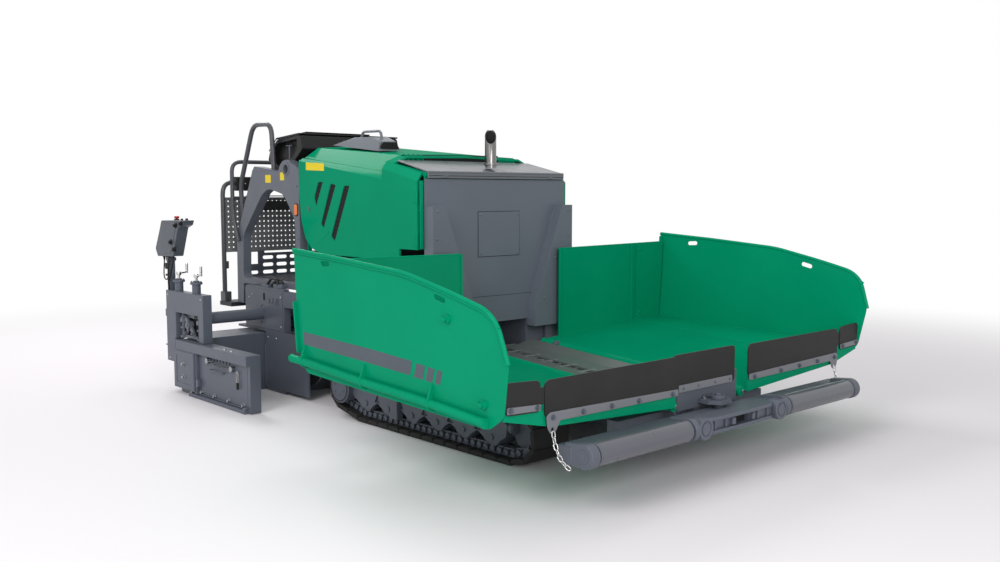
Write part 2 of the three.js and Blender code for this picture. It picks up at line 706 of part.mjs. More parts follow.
const walkway = () => planProfile([
  [-484, 3460 + GAP], [484, 3460 + GAP], [484, 3570], [606, 3570], [606, REAR_Y], [-606, REAR_Y],
  [-606, 3570], [-484, 3570],
], 505, 535);

add('walkway', walkway(), darkGrey);

const rearGuard = () => {
  const postX = 590;
  return join(
    cut(
      block(-postX + 6, postX - 6, 3687, 3693, 600, 1242),
      block(-412, -330, 3680, 3700, 780, 872),
      bothSides(block(470, 590, 3680, 3700, 590, 880)),
    ),
    pipe([[postX, 3690, 550], [postX, 3690, 1361], [-postX, 3690, 1361], [-postX, 3690, 550]],
      16, 80, 16),
    bothSides(block(postX - 34, 606, 3656, REAR_Y - 10, 535 + GAP, 602)),
  );
};

add('rear_guard', rearGuard(), grey);

const extensionBody = () => block(440, END_IN - GAP, 3105, 3400, 0, 375);

addPair('extension_body', extensionBody(), darkGrey);

const crank = (y) => [
  rod([1025, y, 640], [1025, y, 712], 27),
  rod([1025, y, 708], [1025, y, 726], 38),
  rod([1025, y, 720], [1025, y, 775], 9, 8),
  block(1018, 1032, y - 75, y + 6, 766, 776),
  rod([1025, y - 68, 770], [1025, y - 68, 828], 8, 6),
];

const extensionFrame = () => join(
  cut(
    block(END_IN, 1058, 3070, 3600, 345, 650),
    block(980, 1070, 3132, 3462, 340, 516),
  ),
  block(END_IN, 1058, 3475, 3600, 183, 350),
  block(END_IN, 1052, 3475, 3640, 278, 288),
  rod([400, GUIDE.y, GUIDE.z], [1000, GUIDE.y, GUIDE.z], GUIDE.r, 16),
  crank(3218),
  crank(3468),
  block(1005, 1045, 3560, 3598, 640, 868),
);

addPair('extension_frame', extensionFrame(), darkGrey);

const endPlate = () => join(
  block(1044, 1060, 2470, 3395, 4, 340),
  block(END_IN, END_OUT, 2470, 3400, 284, 344),
  block(END_IN, END_OUT, 2500, 3230, 0, 22),
  block(END_IN, 1066, 2470, 2500, 4, 340),
  block(1058, END_OUT - 4, 3150, 3440, 34, 282),
  block(END_IN, END_OUT - 4, 3410, 3440, 34, 290),
);

addPair('end_plate', endPlate(), darkGrey);

const controlBox = () => join(
  sideProfile([
    [3628, 1106], [3300, 1112], [3318, 1082], [3385, 1062], [3470, 876], [3700, 868], [3738, 918],
  ], 988, 1062),
  rod([1025, 3475, 1100], [1025, 3475, 1136], 15),
  block(1008, 1042, 3562, 3596, 868 + GAP, 890),
);

addPair('control_box', controlBox(), darkGrey);

// the cable leaves the control box, hangs in a loop and goes back into it
const CABLE = [
  [1025, 3682, 868.6], [1025, 3682, 846], [1025, 3687, 815], [1025, 3692, 785], [1025, 3694, 760],
  [1025, 3694, 744], [1025, 3689.7, 728], [1025, 3678, 716.3], [1025, 3662, 712], [1025, 3646, 716.3],
  [1025, 3634.3, 728], [1025, 3630, 744], [1025, 3630, 760], [1025, 3632, 790], [1025, 3636, 820],
  [1025, 3638, 846], [1025, 3638, 870.1],
];

const controlCable = () => {
  const route = CABLE.map((p) => new THREE.Vector3(...p));
  route[0].z -= GAP;
  route.at(-1).z -= GAP;
  return new THREE.ExtrudeGeometry(shapeOf(circle(4, 8)), {
    steps: 24,
    extrudePath: new THREE.CatmullRomCurve3(route, false, 'centripetal'),
    bevelEnabled: false,
  });
};

addPair('control_cable', controlCable(), rubber);

// ---------- augers ----------

const auger = () => {
  const perTurn = 9;
  const length = 568;
  const start = 26;
  const at = (i, radius, dx) => {
    const angle = (2 * Math.PI * i) / perTurn;
    return [start + 6 + (AUGER.pitch * i) / perTurn + dx,
      AUGER.y + radius * Math.cos(angle), AUGER.z + radius * Math.sin(angle)];
  };
  const flights = [];
  for (let i = 0; (AUGER.pitch * (i + 1)) / perTurn < length - 16; i += 1) {
    const corners = [i, i + 1.02].flatMap((k) => [
      at(k, AUGER.shaft - 6, 0), at(k, AUGER.shaft - 6, 10), at(k, AUGER.r, 0), at(k, AUGER.r, 10),
    ]);
    flights.push(hull(...corners));
  }
  return join(
    rod([start, AUGER.y, AUGER.z], [start + length, AUGER.y, AUGER.z], AUGER.shaft),
    flights,
  );
};

addPair('auger', auger(), darkGrey);

machine.position.y = -ORIGIN_Y;
machine.updateMatrixWorld(true);

export default machine;
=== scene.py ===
import json
import math

import bpy
from mathutils import Matrix, Vector

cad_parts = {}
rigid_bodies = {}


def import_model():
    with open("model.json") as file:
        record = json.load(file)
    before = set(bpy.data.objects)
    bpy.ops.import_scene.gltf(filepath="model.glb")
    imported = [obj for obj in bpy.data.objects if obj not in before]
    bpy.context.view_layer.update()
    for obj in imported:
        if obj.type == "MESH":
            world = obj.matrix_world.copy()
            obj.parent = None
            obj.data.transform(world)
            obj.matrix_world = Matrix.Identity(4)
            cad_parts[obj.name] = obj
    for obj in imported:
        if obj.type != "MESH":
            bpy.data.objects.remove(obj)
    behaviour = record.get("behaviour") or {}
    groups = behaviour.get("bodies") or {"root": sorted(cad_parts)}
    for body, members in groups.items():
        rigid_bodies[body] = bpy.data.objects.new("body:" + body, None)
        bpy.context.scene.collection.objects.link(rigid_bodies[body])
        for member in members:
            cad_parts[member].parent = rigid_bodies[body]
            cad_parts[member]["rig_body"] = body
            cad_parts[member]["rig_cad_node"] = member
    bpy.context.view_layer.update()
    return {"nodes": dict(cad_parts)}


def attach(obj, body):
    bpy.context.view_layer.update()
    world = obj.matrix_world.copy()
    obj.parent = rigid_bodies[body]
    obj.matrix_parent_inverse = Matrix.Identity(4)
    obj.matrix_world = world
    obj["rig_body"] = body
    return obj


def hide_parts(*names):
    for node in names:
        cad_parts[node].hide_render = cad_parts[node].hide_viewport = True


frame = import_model()
scene = bpy.context.scene
print("frame loaded")

flapPlane = -1.778  # the hopper's front flaps; lengths below are millimetres back from there


def mm(x, y, z):
    return Vector((x / 1000, y / 1000 + flapPlane, z / 1000))


# selecting and finishing pieces

sides = ((1, "left"), (-1, "right"))


def pick(*pieces):
    bpy.ops.object.select_all(action="DESELECT")
    for piece in pieces:
        piece.select_set(True)
    bpy.context.view_layer.objects.active = pieces[0]


def settle(piece):
    pick(piece)
    bpy.ops.object.transform_apply(location=True, rotation=True, scale=True)
    return piece


def added():
    return bpy.context.view_layer.objects.active


def tidyNormals(piece):
    pick(piece)
    bpy.ops.object.mode_set(mode="EDIT")
    bpy.ops.mesh.select_all(action="SELECT")
    bpy.ops.mesh.normals_make_consistent(inside=False)
    bpy.ops.object.mode_set(mode="OBJECT")
    return piece


def withoutVertices(piece, chosen):
    # deletes the vertices that the test picks out
    bpy.ops.object.mode_set(mode="EDIT")
    bpy.ops.mesh.select_mode(type="VERT")
    bpy.ops.mesh.select_all(action="DESELECT")
    bpy.ops.object.mode_set(mode="OBJECT")
    for vertex in piece.data.vertices:
        vertex.select = chosen(vertex)
    bpy.ops.object.mode_set(mode="EDIT")
    bpy.ops.mesh.delete(type="VERT")
    bpy.ops.object.mode_set(mode="OBJECT")


def modified(piece, kind, **settings):
    # adds one modifier with its settings and applies it
    pick(piece)
    modifier = piece.modifiers.new(kind.lower(), kind)
    for name, value in settings.items():
        setattr(modifier, name, value)
    bpy.ops.object.modifier_apply(modifier=modifier.name)
    return piece


def smoothed(piece, angle=35):
    pick(piece)
    bpy.ops.object.shade_smooth_by_angle(angle=math.radians(angle))
    return piece


def rounded(piece, width, segments=2, angle=28):
    # softens every edge sharper than the angle; the width is in millimetres
    if width <= 0:
        return smoothed(piece)
    modified(piece, "BEVEL", width=width / 1000, segments=segments, limit_method="ANGLE",
             angle_limit=math.radians(angle))
    # large faces keep flat shading beside their soft edges
    return modified(smoothed(piece, 40), "WEIGHTED_NORMAL", keep_sharp=True, weight=100)


def joined(parts, name):
    pick(*parts)
    if len(parts) > 1:
        bpy.ops.object.join()
    piece = added()
    piece.name = name
    piece.data.name = name
    return piece


def dressed(piece, material):
    piece.data.materials.clear()
    piece.data.materials.append(material)
    return piece


def dressedAll(parts, material):
    for part in parts:
        dressed(part, material)


def placed(piece, body, slotName, *nodes):
    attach(piece, body)
    if nodes:
        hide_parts(*nodes)
    return piece


def fitted(parts, name, material, body, slotName, *nodes):
    # one piece of one material, from parts, standing for the CAD nodes
    parts = parts if isinstance(parts, list) else [parts]
    return placed(dressed(joined(parts, name), material), body, slotName, *nodes)


def copiedTo(part, place=(0, 0, 0), turn=None):
    twin = part.copy()
    twin.data = part.data.copy()
    scene.collection.objects.link(twin)
    move = Matrix.Translation(Vector(place))
    twin.data.transform(move @ turn.to_4x4() if turn is not None else move)
    return twin


def dropped(part):
    bpy.data.objects.remove(part, do_unlink=True)


def carved(piece, cutters):
    # takes the cutters out of the piece, then throws them away
    for cutter in cutters:
        modified(piece, "BOOLEAN", operation="DIFFERENCE", solver="EXACT", object=cutter)
        dropped(cutter)
    return piece


# shapes

def blockOf(x0, x1, y0, y1, z0, z1, edge=2, segments=2):
    low, high = mm(x0, y0, z0), mm(x1, y1, z1)
    bpy.ops.mesh.primitive_cube_add(size=1, location=(low + high) / 2)
    piece = added()
    piece.scale = [abs(high[i] - low[i]) for i in range(3)]
    return rounded(settle(piece), edge, segments)


def barOf(start, end, radius, sides=24, edge=1.0):
    a, b = mm(*start), mm(*end)
    along = b - a
    bpy.ops.mesh.primitive_cylinder_add(
        vertices=sides, radius=radius / 1000, depth=along.length, location=(a + b) / 2,
        rotation=along.to_track_quat("Z", "Y").to_euler())
    return rounded(settle(added()), edge, 2, 50)


def acrossOf(side, start, end, y, z, radius, sides=24, edge=1.0):
    # a bar along X, on the given side
    return barOf((side * start, y, z), (side * end, y, z), radius, sides, edge)


def filletPath(points, bend, steps=5):
    # the same corners, each turned by a short arc
    corners = [mm(*p) for p in points]
    path = [corners[0]]
    for before, corner, after in zip(corners, corners[1:], corners[2:]):
        reach = min(bend / 1000, (before - corner).length * 0.49, (after - corner).length * 0.49)
        a = corner + (before - corner).normalized() * reach
        b = corner + (after - corner).normalized() * reach
        for i in range(steps + 1):
            t = i / steps
            path.append(a.lerp(corner, t).lerp(corner.lerp(b, t), t))
    path.append(corners[-1])
    return path


def lineOf(path, radius, closed=False, sides=3):
    # a round bar along a list of points in metres
    bpy.ops.curve.primitive_nurbs_path_add()
    curve = added()
    curve.data.splines.clear()
    spline = curve.data.splines.new("POLY")
    spline.points.add(len(path) - 1)
    for point, place in zip(spline.points, path):
        point.co = (*place, 1)
    spline.use_cyclic_u = closed
    curve.data.dimensions = "3D"
    curve.data.bevel_depth = radius / 1000
    curve.data.bevel_resolution = sides
    curve.data.use_fill_caps = not closed
    curve.location = (0, 0, 0)
    pick(curve)
    bpy.ops.object.convert(target="MESH")
    return smoothed(settle(added()), 50)


def tubeOf(points, radius, bend=40, closed=False, sides=3):
    return lineOf(filletPath(points, bend), radius, closed, sides)


def plateOf(outline, axis, start, end, edge=1.5, segments=2):
    # an outline cut from plate: (y, z) for axis x, (x, z) for axis y, (x, y) for axis z
    spread = {
        "x": lambda u, v, w: mm(w, u, v),
        "y": lambda u, v, w: mm(u, w, v),
        "z": lambda u, v, w: mm(u, v, w),
    }[axis]
    bpy.ops.mesh.primitive_circle_add(vertices=len(outline), radius=1, fill_type="NGON")
    piece = added()
    for vertex, (u, v) in zip(piece.data.vertices, outline):
        vertex.co = spread(u, v, start)
    bpy.ops.object.mode_set(mode="EDIT")
    bpy.ops.mesh.select_all(action="SELECT")
    bpy.ops.mesh.extrude_region_move(
        TRANSFORM_OT_translate={"value": spread(0, 0, end) - spread(0, 0, start)})
    bpy.ops.mesh.select_all(action="SELECT")
    bpy.ops.mesh.normals_make_consistent(inside=False)
    bpy.ops.object.mode_set(mode="OBJECT")
    return rounded(piece, edge, segments)


def frameOf(outline, windows, axis, start, end, edge=1.5):
    # a plate with window outlines cut through it
    reach = 20 if end > start else -20
    cutters = [plateOf(w, axis, start - reach, end + reach, 0) for w in windows]
    return rounded(carved(plateOf(outline, axis, start, end, 0), cutters), edge)


def slotOutline(u, v, length, width, turn=0, steps=5):
    # a round-ended slot about (u, v), lying along u and turned by degrees
    half = length / 2 - width / 2
    angle = math.radians(turn)
    points = []
    for end in (1, -1):
        for i in range(steps + 1):
            t = math.radians(-90 + 180 * i / steps)
            a = end * (half + math.cos(t) * width / 2)
            b = end * math.sin(t) * width / 2
            points.append((u + a * math.cos(angle) - b * math.sin(angle),
                           v + a * math.sin(angle) + b * math.cos(angle)))
    return points


def hullOf(points, edge=2, segments=2):
    # the plain solid that spans the points
    bpy.ops.mesh.primitive_circle_add(vertices=max(len(points), 3), radius=1, fill_type="NOTHING")
    piece = added()
    for vertex, point in zip(piece.data.vertices, points):
        vertex.co = mm(*point)
    bpy.ops.object.mode_set(mode="EDIT")
    bpy.ops.mesh.select_all(action="SELECT")
    bpy.ops.mesh.convex_hull()
    bpy.ops.mesh.select_all(action="SELECT")
    bpy.ops.mesh.normals_make_consistent(inside=False)
    bpy.ops.object.mode_set(mode="OBJECT")
    return rounded(piece, edge, segments)


def refined(node, edge=2.5, segments=2, angle=28):
    # a softened copy of a CAD node
    source = frame["nodes"][node]
    piece = source.copy()
    piece.data = source.data.copy()
    piece.parent = None
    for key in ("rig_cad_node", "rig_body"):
        if key in piece:
            del piece[key]
    scene.collection.objects.link(piece)
    pick(piece)
    bpy.ops.object.mode_set(mode="EDIT")
    bpy.ops.mesh.select_all(action="SELECT")
    bpy.ops.mesh.remove_doubles(threshold=0.00002)
    bpy.ops.mesh.dissolve_limited(angle_limit=math.radians(0.6))
    bpy.ops.object.mode_set(mode="OBJECT")
    return rounded(piece, edge, segments, angle)


def leaned(piece, side, lean=0.0707, level=435):
    # leans a wall's parts outwards above the level
    for vertex in piece.data.vertices:
        vertex.co.x += side * lean * (vertex.co.z - level / 1000)
    return piece


# fasteners, modelled once and copied

headRadius = 0.01  # of both models, in metres
boltSettings = {"headSides": 6, "washer": 1.45, "washerHeight": 0.003, "headHeight": 0.55}


def turnedModel(sides, radius, height, foot, edge):
    bpy.ops.mesh.primitive_cylinder_add(vertices=sides, radius=radius, depth=height,
                                        location=(0, 0, foot + height / 2))
    return rounded(settle(added()), edge, 1 if edge < 1 else 2, 50)


def boltModel(material):
    # a hexagon head with a washer, 20 mm across, standing on z = 0
    s = boltSettings
    washer = turnedModel(20, headRadius * s["washer"], s["washerHeight"], 0, 0.7)
    head = turnedModel(s["headSides"], headRadius, 2 * headRadius * s["headHeight"], s["washerHeight"],
                       1.2)
    return dressed(joined([washer, head], "boltModel"), material)


def domeModel(material):
    # a round-headed screw, 20 mm across
    bpy.ops.mesh.primitive_uv_sphere_add(segments=16, ring_count=8, radius=headRadius)
    piece = added()
    piece.scale = (1, 1, 0.6)
    settle(piece)
    bpy.ops.object.mode_set(mode="EDIT")
    bpy.ops.mesh.select_all(action="SELECT")
    bpy.ops.mesh.bisect(plane_co=(0, 0, 0), plane_no=(0, 0, 1), clear_inner=True, use_fill=True)
    bpy.ops.object.mode_set(mode="OBJECT")
    return dressed(smoothed(piece), material)


def fastened(model, places, facing, size=20, spin=0.3):
    # copies of one fastener: places in millimetres, size across the head
    turn = Vector(facing).to_track_quat("Z", "Y").to_matrix() @ Matrix.Rotation(spin, 3, "Z")
    turn = turn @ Matrix.Scale(size / 20, 3)
    return [copiedTo(model, mm(*place), turn) for place in places]


# camera, lights and floor

cameraSettings = {"place": (-3.850, -4.507, 1.288), "tilt": 84.94, "turn": -42.39, "lens": 35.95}
lightSettings = {
    "world": 0.50,
    "lamps": [  # name, place, aim, size, watts
        ("keyLamp", (-6.5, -2.0, 4.8), (0, -0.3, 0.6), 3.6, 185),
        ("frontLamp", (-3.4, -7.4, 2.9), (0, -0.6, 0.7), 4.0, 215),
        ("topLamp", (1.0, 1.5, 6.5), (0, 0, 0.6), 3.0, 40),
        ("rimLamp", (-0.1, 5.4, 5.3), (-0.4, 0.4, 1.2), 2.8, 190),
    ],
}
floorSettings = {"size": 90, "tone": (0.875, 0.845, 0.870), "clearFrom": 3.2, "clearTo": 7.5}

bpy.ops.object.camera_add(
    location=cameraSettings["place"],
    rotation=(math.radians(cameraSettings["tilt"]), 0, math.radians(cameraSettings["turn"])))
camera = added()
camera.name = "viewCamera"
camera.data.lens = cameraSettings["lens"]
camera.data.sensor_width = 36
camera.data.clip_end = 200
scene.camera = camera

for lampName, place, aim, size, watts in lightSettings["lamps"]:
    bpy.ops.object.light_add(type="AREA", location=place)
    lamp = added()
    lamp.name = lampName
    lamp.data.shape = "DISK"
    lamp.data.size = size
    lamp.data.energy = watts
    lamp.rotation_euler = (Vector(place) - Vector(aim)).to_track_quat("Z", "Y").to_euler()

scene.view_settings.view_transform = "Standard"


def nodeOf(tree, kind, values=None, **settings):
    # a new shader node with its settings and the values of its inputs
    made = tree.nodes.new(f"ShaderNode{kind}")
    for name, value in settings.items():
        setattr(made, name, value)
    for name, value in (values or {}).items():
        made.inputs[name].default_value = value
    return made


def mathOf(tree, operation, first, second):
    made = nodeOf(tree, "Math", operation=operation)
    tree.links.new(first, made.inputs[0])
    tree.links.new(second, made.inputs[1])
    return made.outputs[0]


def shaderMix(tree, share, first, second):
    made = nodeOf(tree, "MixShader")
    for source, socket in zip((share, first.outputs[0], second.outputs[0]), made.inputs):
        tree.links.new(source, socket)
    return made.outputs[0]


white = (1, 1, 1, 1)
world = bpy.data.worlds.new("studio")
scene.world = world
world.use_nodes = True
tree = world.node_tree
tree.nodes.clear()
worldOut = nodeOf(tree, "OutputWorld")
roomLight = nodeOf(tree, "Background", {"Color": white, "Strength": lightSettings["world"]})
seenWhite = nodeOf(tree, "Background", {"Color": white, "Strength": 1.0})
rays = nodeOf(tree, "LightPath").outputs
cameraOrGlossy = mathOf(tree, "MAXIMUM", rays["Is Camera Ray"], rays["Is Glossy Ray"])
orThrough = mathOf(tree, "MAXIMUM", cameraOrGlossy, rays["Is Transmission Ray"])
tree.links.new(shaderMix(tree, orThrough, roomLight, seenWhite), worldOut.inputs["Surface"])

bpy.ops.mesh.primitive_plane_add(size=floorSettings["size"], location=(0, 0, -0.0005))
floor = settle(added())
floor.name = "studioFloor"


def floorMaterial():
    # white paper under the machine, running out into the white background
    material = bpy.data.materials.new("floorPaper")
    material.use_nodes = True
    tree = material.node_tree
    tree.nodes.clear()
    out = nodeOf(tree, "OutputMaterial")
    paper = nodeOf(tree, "BsdfDiffuse", {"Color": (*floorSettings["tone"], 1)})
    glow = nodeOf(tree, "Emission", {"Color": white, "Strength": 1})
    distance = nodeOf(tree, "VectorMath", operation="LENGTH")
    tree.links.new(nodeOf(tree, "TexCoord").outputs["Object"], distance.inputs[0])
    fade = nodeOf(tree, "MapRange", {"From Min": floorSettings["clearFrom"],
                                     "From Max": floorSettings["clearTo"]},
                  interpolation_type="SMOOTHSTEP")
    tree.links.new(distance.outputs["Value"], fade.inputs["Value"])
    rays = nodeOf(tree, "LightPath").outputs
    seen = mathOf(tree, "MAXIMUM", rays["Is Camera Ray"], rays["Is Glossy Ray"])
    share = mathOf(tree, "MULTIPLY", fade.outputs["Result"], seen)
    tree.links.new(shaderMix(tree, share, paper, glow), out.inputs["Surface"])
    return material


dressed(floor, floorMaterial())
print("stage ready")

# materials

paintSettings = {
    "greenPaint": {"tone": (0.0008, 0.280, 0.139), "rough": 0.40, "coat": 0.10, "peel": 0.02,
                   "shine": 0.0},
    "greyPaint": {"tone": (0.098, 0.110, 0.138), "rough": 0.44, "coat": 0.12, "peel": 0.08},
    "frontGreyPaint": {"tone": (0.125, 0.143, 0.175), "rough": 0.42, "coat": 0.15, "peel": 0.07},
    "screedPaint": {"tone": (0.106, 0.119, 0.150), "rough": 0.42, "coat": 0.14, "peel": 0.06},
    "lidPaint": {"tone": (0.135, 0.142, 0.160), "rough": 0.32, "coat": 0.22, "peel": 0.01},
    "deckPaint": {"tone": (0.034, 0.038, 0.046), "rough": 0.55, "coat": 0.05, "peel": 0.10},
    "stripePaint": {"tone": (0.070, 0.088, 0.110), "rough": 0.40, "coat": 0.15, "peel": 0.04},
    "stickerYellow": {"tone": (0.80, 0.62, 0.010), "rough": 0.40, "coat": 0.10, "peel": 0.02},
    "knobRed": {"tone": (0.42, 0.010, 0.012), "rough": 0.35, "coat": 0.20, "peel": 0.02},
    "lampOrange": {"tone": (0.75, 0.17, 0.015), "rough": 0.22, "coat": 0.50, "peel": 0.02},
    "rollerPaint": {"tone": (0.095, 0.101, 0.120), "rough": 0.30, "coat": 0.55, "peel": 0.03},
    "wornGuard": {"tone": (0.105, 0.125, 0.120), "rough": 0.40, "coat": 0.10, "peel": 0.06},
    "intakePaint": {"tone": (0.165, 0.180, 0.205), "rough": 0.36, "coat": 0.20, "peel": 0.04},
    "framePaint": {"tone": (0.120, 0.132, 0.160), "rough": 0.42, "coat": 0.15, "peel": 0.06},
    "railPaint": {"tone": (0.075, 0.078, 0.088), "rough": 0.36, "coat": 0.20, "peel": 0.05},
    "meshPaint": {"tone": (0.210, 0.212, 0.220), "rough": 0.40, "coat": 0.10, "peel": 0.05},
    "screenGlass": {"tone": (0.010, 0.014, 0.018), "rough": 0.12, "coat": 0.60, "peel": 0.0},
    "boxPaint": {"tone": (0.085, 0.095, 0.115), "rough": 0.42, "coat": 0.12, "peel": 0.06},
    "gearPaint": {"tone": (0.130, 0.145, 0.170), "rough": 0.34, "coat": 0.20, "peel": 0.06},
    "strapPaint": {"tone": (0.170, 0.180, 0.200), "rough": 0.38, "coat": 0.20, "peel": 0.04},
    "blackPlastic": {"tone": (0.012, 0.012, 0.013), "rough": 0.42, "coat": 0.05, "peel": 0.20},
}


def startMaterial(name):
    material = bpy.data.materials.new(name)
    material.use_nodes = True
    tree = material.node_tree
    tree.nodes.clear()
    out = nodeOf(tree, "OutputMaterial")
    surface = nodeOf(tree, "BsdfPrincipled")
    tree.links.new(surface.outputs[0], out.inputs["Surface"])
    return material, tree, surface, nodeOf(tree, "TexCoord").outputs["Object"]


def noiseOn(tree, spot, scale, detail=3.0, rough=0.5):
    noise = nodeOf(tree, "TexNoise", {"Scale": scale, "Detail": detail, "Roughness": rough})
    tree.links.new(spot, noise.inputs["Vector"])
    return noise.outputs["Fac"]


def spread(tree, source, low, high):
    # the middle of a noise, stretched over the range
    ranged = nodeOf(tree, "MapRange", {"From Min": 0.3, "From Max": 0.7, "To Min": low, "To Max": high})
    tree.links.new(source, ranged.inputs["Value"])
    return ranged.outputs["Result"]


def toneMix(tree, share, low, high):
    mix = nodeOf(tree, "Mix", data_type="RGBA")
    mix.inputs["A"].default_value = (*low, 1)
    mix.inputs["B"].default_value = (*high, 1)
    tree.links.new(share, mix.inputs["Factor"])
    return mix.outputs["Result"]


def bumped(tree, surface, skin, strength, distance):
    bump = nodeOf(tree, "Bump", {"Strength": strength, "Distance": distance})
    tree.links.new(skin, bump.inputs["Height"])
    tree.links.new(bump.outputs["Normal"], surface.inputs["Normal"])


def paintMaterial(name, tone, rough, coat, peel, shine=0.22):
    # sprayed paint: faint clouding, a fine peel, and dust where the spray was thin
    material, tree, surface, spot = startMaterial(name)
    clouds = spread(tree, noiseOn(tree, spot, 2.3, 4), 0, 1)
    dark = tuple(c * 0.955 for c in tone)
    light = tuple(min(c * 1.045 + 0.0006, 1) for c in tone)
    tree.links.new(toneMix(tree, clouds, dark, light), surface.inputs["Base Color"])
    patches = noiseOn(tree, spot, 11, 5, 0.6)
    tree.links.new(spread(tree, patches, rough - 0.05, rough + 0.06), surface.inputs["Roughness"])
    bumped(tree, surface, noiseOn(tree, spot, 420, 2), peel, 0.001)
    surface.inputs["Coat Weight"].default_value = coat
    surface.inputs["Coat Roughness"].default_value = 0.12
    surface.inputs["Specular IOR Level"].default_value = shine
    return material


def metalMaterial(name, tone, rough, streak):
    # bare metal, drawn or turned, with streaks along one axis
    material, tree, surface, spot = startMaterial(name)
    stretch = nodeOf(tree, "Mapping", {"Scale": streak})
    tree.links.new(spot, stretch.inputs["Vector"])
    lines = noiseOn(tree, stretch.outputs["Vector"], 60, 4)
    base = toneMix(tree, lines, tuple(c * 0.86 for c in tone), tuple(min(c * 1.1, 1) for c in tone))
    tree.links.new(base, surface.inputs["Base Color"])
    tree.links.new(spread(tree, lines, rough - 0.06, rough + 0.08), surface.inputs["Roughness"])
    surface.inputs["Metallic"].default_value = 1.0
    return material


def rubberMaterial(name, tone, rough, grain):
    # matt rubber or plastic with a fine grain
    material, tree, surface, spot = startMaterial(name)
    clouds = spread(tree, noiseOn(tree, spot, 5, 4, 0.6), 0, 1)
    base = toneMix(tree, clouds, tuple(c * 0.85 for c in tone), tuple(c * 1.18 for c in tone))
    tree.links.new(base, surface.inputs["Base Color"])
    skin = noiseOn(tree, spot, 260, 4, 0.65)
    tree.links.new(spread(tree, skin, rough - 0.06, rough + 0.08), surface.inputs["Roughness"])
    bumped(tree, surface, skin, grain, 0.0015)
    surface.inputs["Specular IOR Level"].default_value = 0.35
    return material


paints = {name: paintMaterial(name, **settings) for name, settings in paintSettings.items()}
greenPaint, greyPaint, screedPaint = paints["greenPaint"], paints["greyPaint"], paints["screedPaint"]
frontGreyPaint, lidPaint, deckPaint = paints["frontGreyPaint"], paints["lidPaint"], paints["deckPaint"]
stripePaint, stickerYellow = paints["stripePaint"], paints["stickerYellow"]
blackPlastic = paints["blackPlastic"]
brightSteel = metalMaterial("brightSteel", (0.62, 0.62, 0.61), 0.24, (1, 1, 0.12))
wornSteel = metalMaterial("wornSteel", (0.30, 0.30, 0.31), 0.38, (0.15, 1, 1))
chainSteel = metalMaterial("chainSteel", (0.16, 0.165, 0.175), 0.40, (1, 0.4, 1))
warmSteel = metalMaterial("warmSteel", (0.20, 0.195, 0.19), 0.20, (1, 1, 0.1))
flapRubber = rubberMaterial("flapRubber", (0.0125, 0.0122, 0.0122), 0.60, 0.25)
padRubber = rubberMaterial("padRubber", (0.017, 0.016, 0.016), 0.70, 0.40)
cableRubber = rubberMaterial("cableRubber", (0.012, 0.012, 0.012), 0.50, 0.15)
# near-black: black parts and dark joints, and painted shade where it fills pockets, slots, holes and
# openings
blackAndPaintedShade = rubberMaterial("blackAndPaintedShade", (0.006, 0.006, 0.007), 0.80, 0.1)
screwSteel = metalMaterial("screwSteel", (0.36, 0.37, 0.39), 0.34, (1, 1, 1))
greyBolt = boltModel(paints["greyPaint"])
steelBolt = boltModel(screwSteel)
greyScrew = domeModel(paints["greyPaint"])
steelScrew = domeModel(screwSteel)
print("materials ready")

# cords: a loop under each control box

cordSettings = {
    "x": 1025, "radius": 4, "length": 0.353, "glandTop": 9, "glandLow": 5.2, "glandLength": 26,
    "route": [  # (y, z), out of the box, round and back into it
        (3682, 868.2), (3682, 857), (3682.6, 838), (3687, 812), (3692, 785), (3694, 760), (3694, 744),
        (3689.7, 728), (3678, 716.3), (3662, 712), (3646, 716.3), (3634.3, 728), (3630, 744),
        (3630, 762), (3632, 790), (3636.5, 820), (3638, 846), (3638, 869.7)],
}


def controlCable(side, sideName):
    s = cordSettings
    bpy.ops.curve.primitive_bezier_curve_add()
    cable = added()
    cable.data.splines.clear()
    spline = cable.data.splines.new("BEZIER")
    spline.bezier_points.add(len(s["route"]) - 1)
    for point, (y, z) in zip(spline.bezier_points, s["route"]):
        point.co = mm(side * s["x"], y, z)
        point.handle_left_type = point.handle_right_type = "AUTO"
    spline.resolution_u = 5
    cable.data.dimensions = "3D"
    cable.data.bevel_depth = s["radius"] / 1000
    cable.data.bevel_resolution = 3
    cable.data.use_fill_caps = True
    cable.location = (0, 0, 0)
    cable.name = f"control_cable_loop_{sideName}"
    cable.data.materials.append(cableRubber)
    placed(cable, f"extension_{sideName}", "rubber", f"control_cable_{sideName}")
    glands = []
    for y, z in (s["route"][0], s["route"][-1]):
        bpy.ops.mesh.primitive_cone_add(
            vertices=20, radius1=s["glandLow"] / 1000, radius2=s["glandTop"] / 1000,
            depth=s["glandLength"] / 1000, location=mm(side * s["x"], y, z - s["glandLength"] / 2))
        glands.append(rounded(settle(added()), 0.6, 1, 50))
        glands.append(barOf((side * s["x"], y, z - 6), (side * s["x"], y, z + 1), 11, 6, 0.8))
    fitted(glands, f"cable_glands_{sideName}", blackPlastic, f"extension_{sideName}", "black_plastic")


for side, sideName in sides:
    controlCable(side, sideName)
print("cords ready")


# hopper wings

def softOutline(points, bend, steps=4):
    # an outline with its corners rounded, in millimetres
    rounder = []
    count = len(points)
    for i, corner in enumerate(points):
        here = Vector((*corner, 0))
        before = Vector((*points[i - 1], 0))
        after = Vector((*points[(i + 1) % count], 0))
        reach = min(bend, (before - here).length * 0.45, (after - here).length * 0.45)
        a = here + (before - here).normalized() * reach
        b = here + (after - here).normalized() * reach
        for k in range(steps + 1):
            t = k / steps
            point = a.lerp(here, t).lerp(here.lerp(b, t), t)
            rounder.append((point.x, point.y))
    return rounder


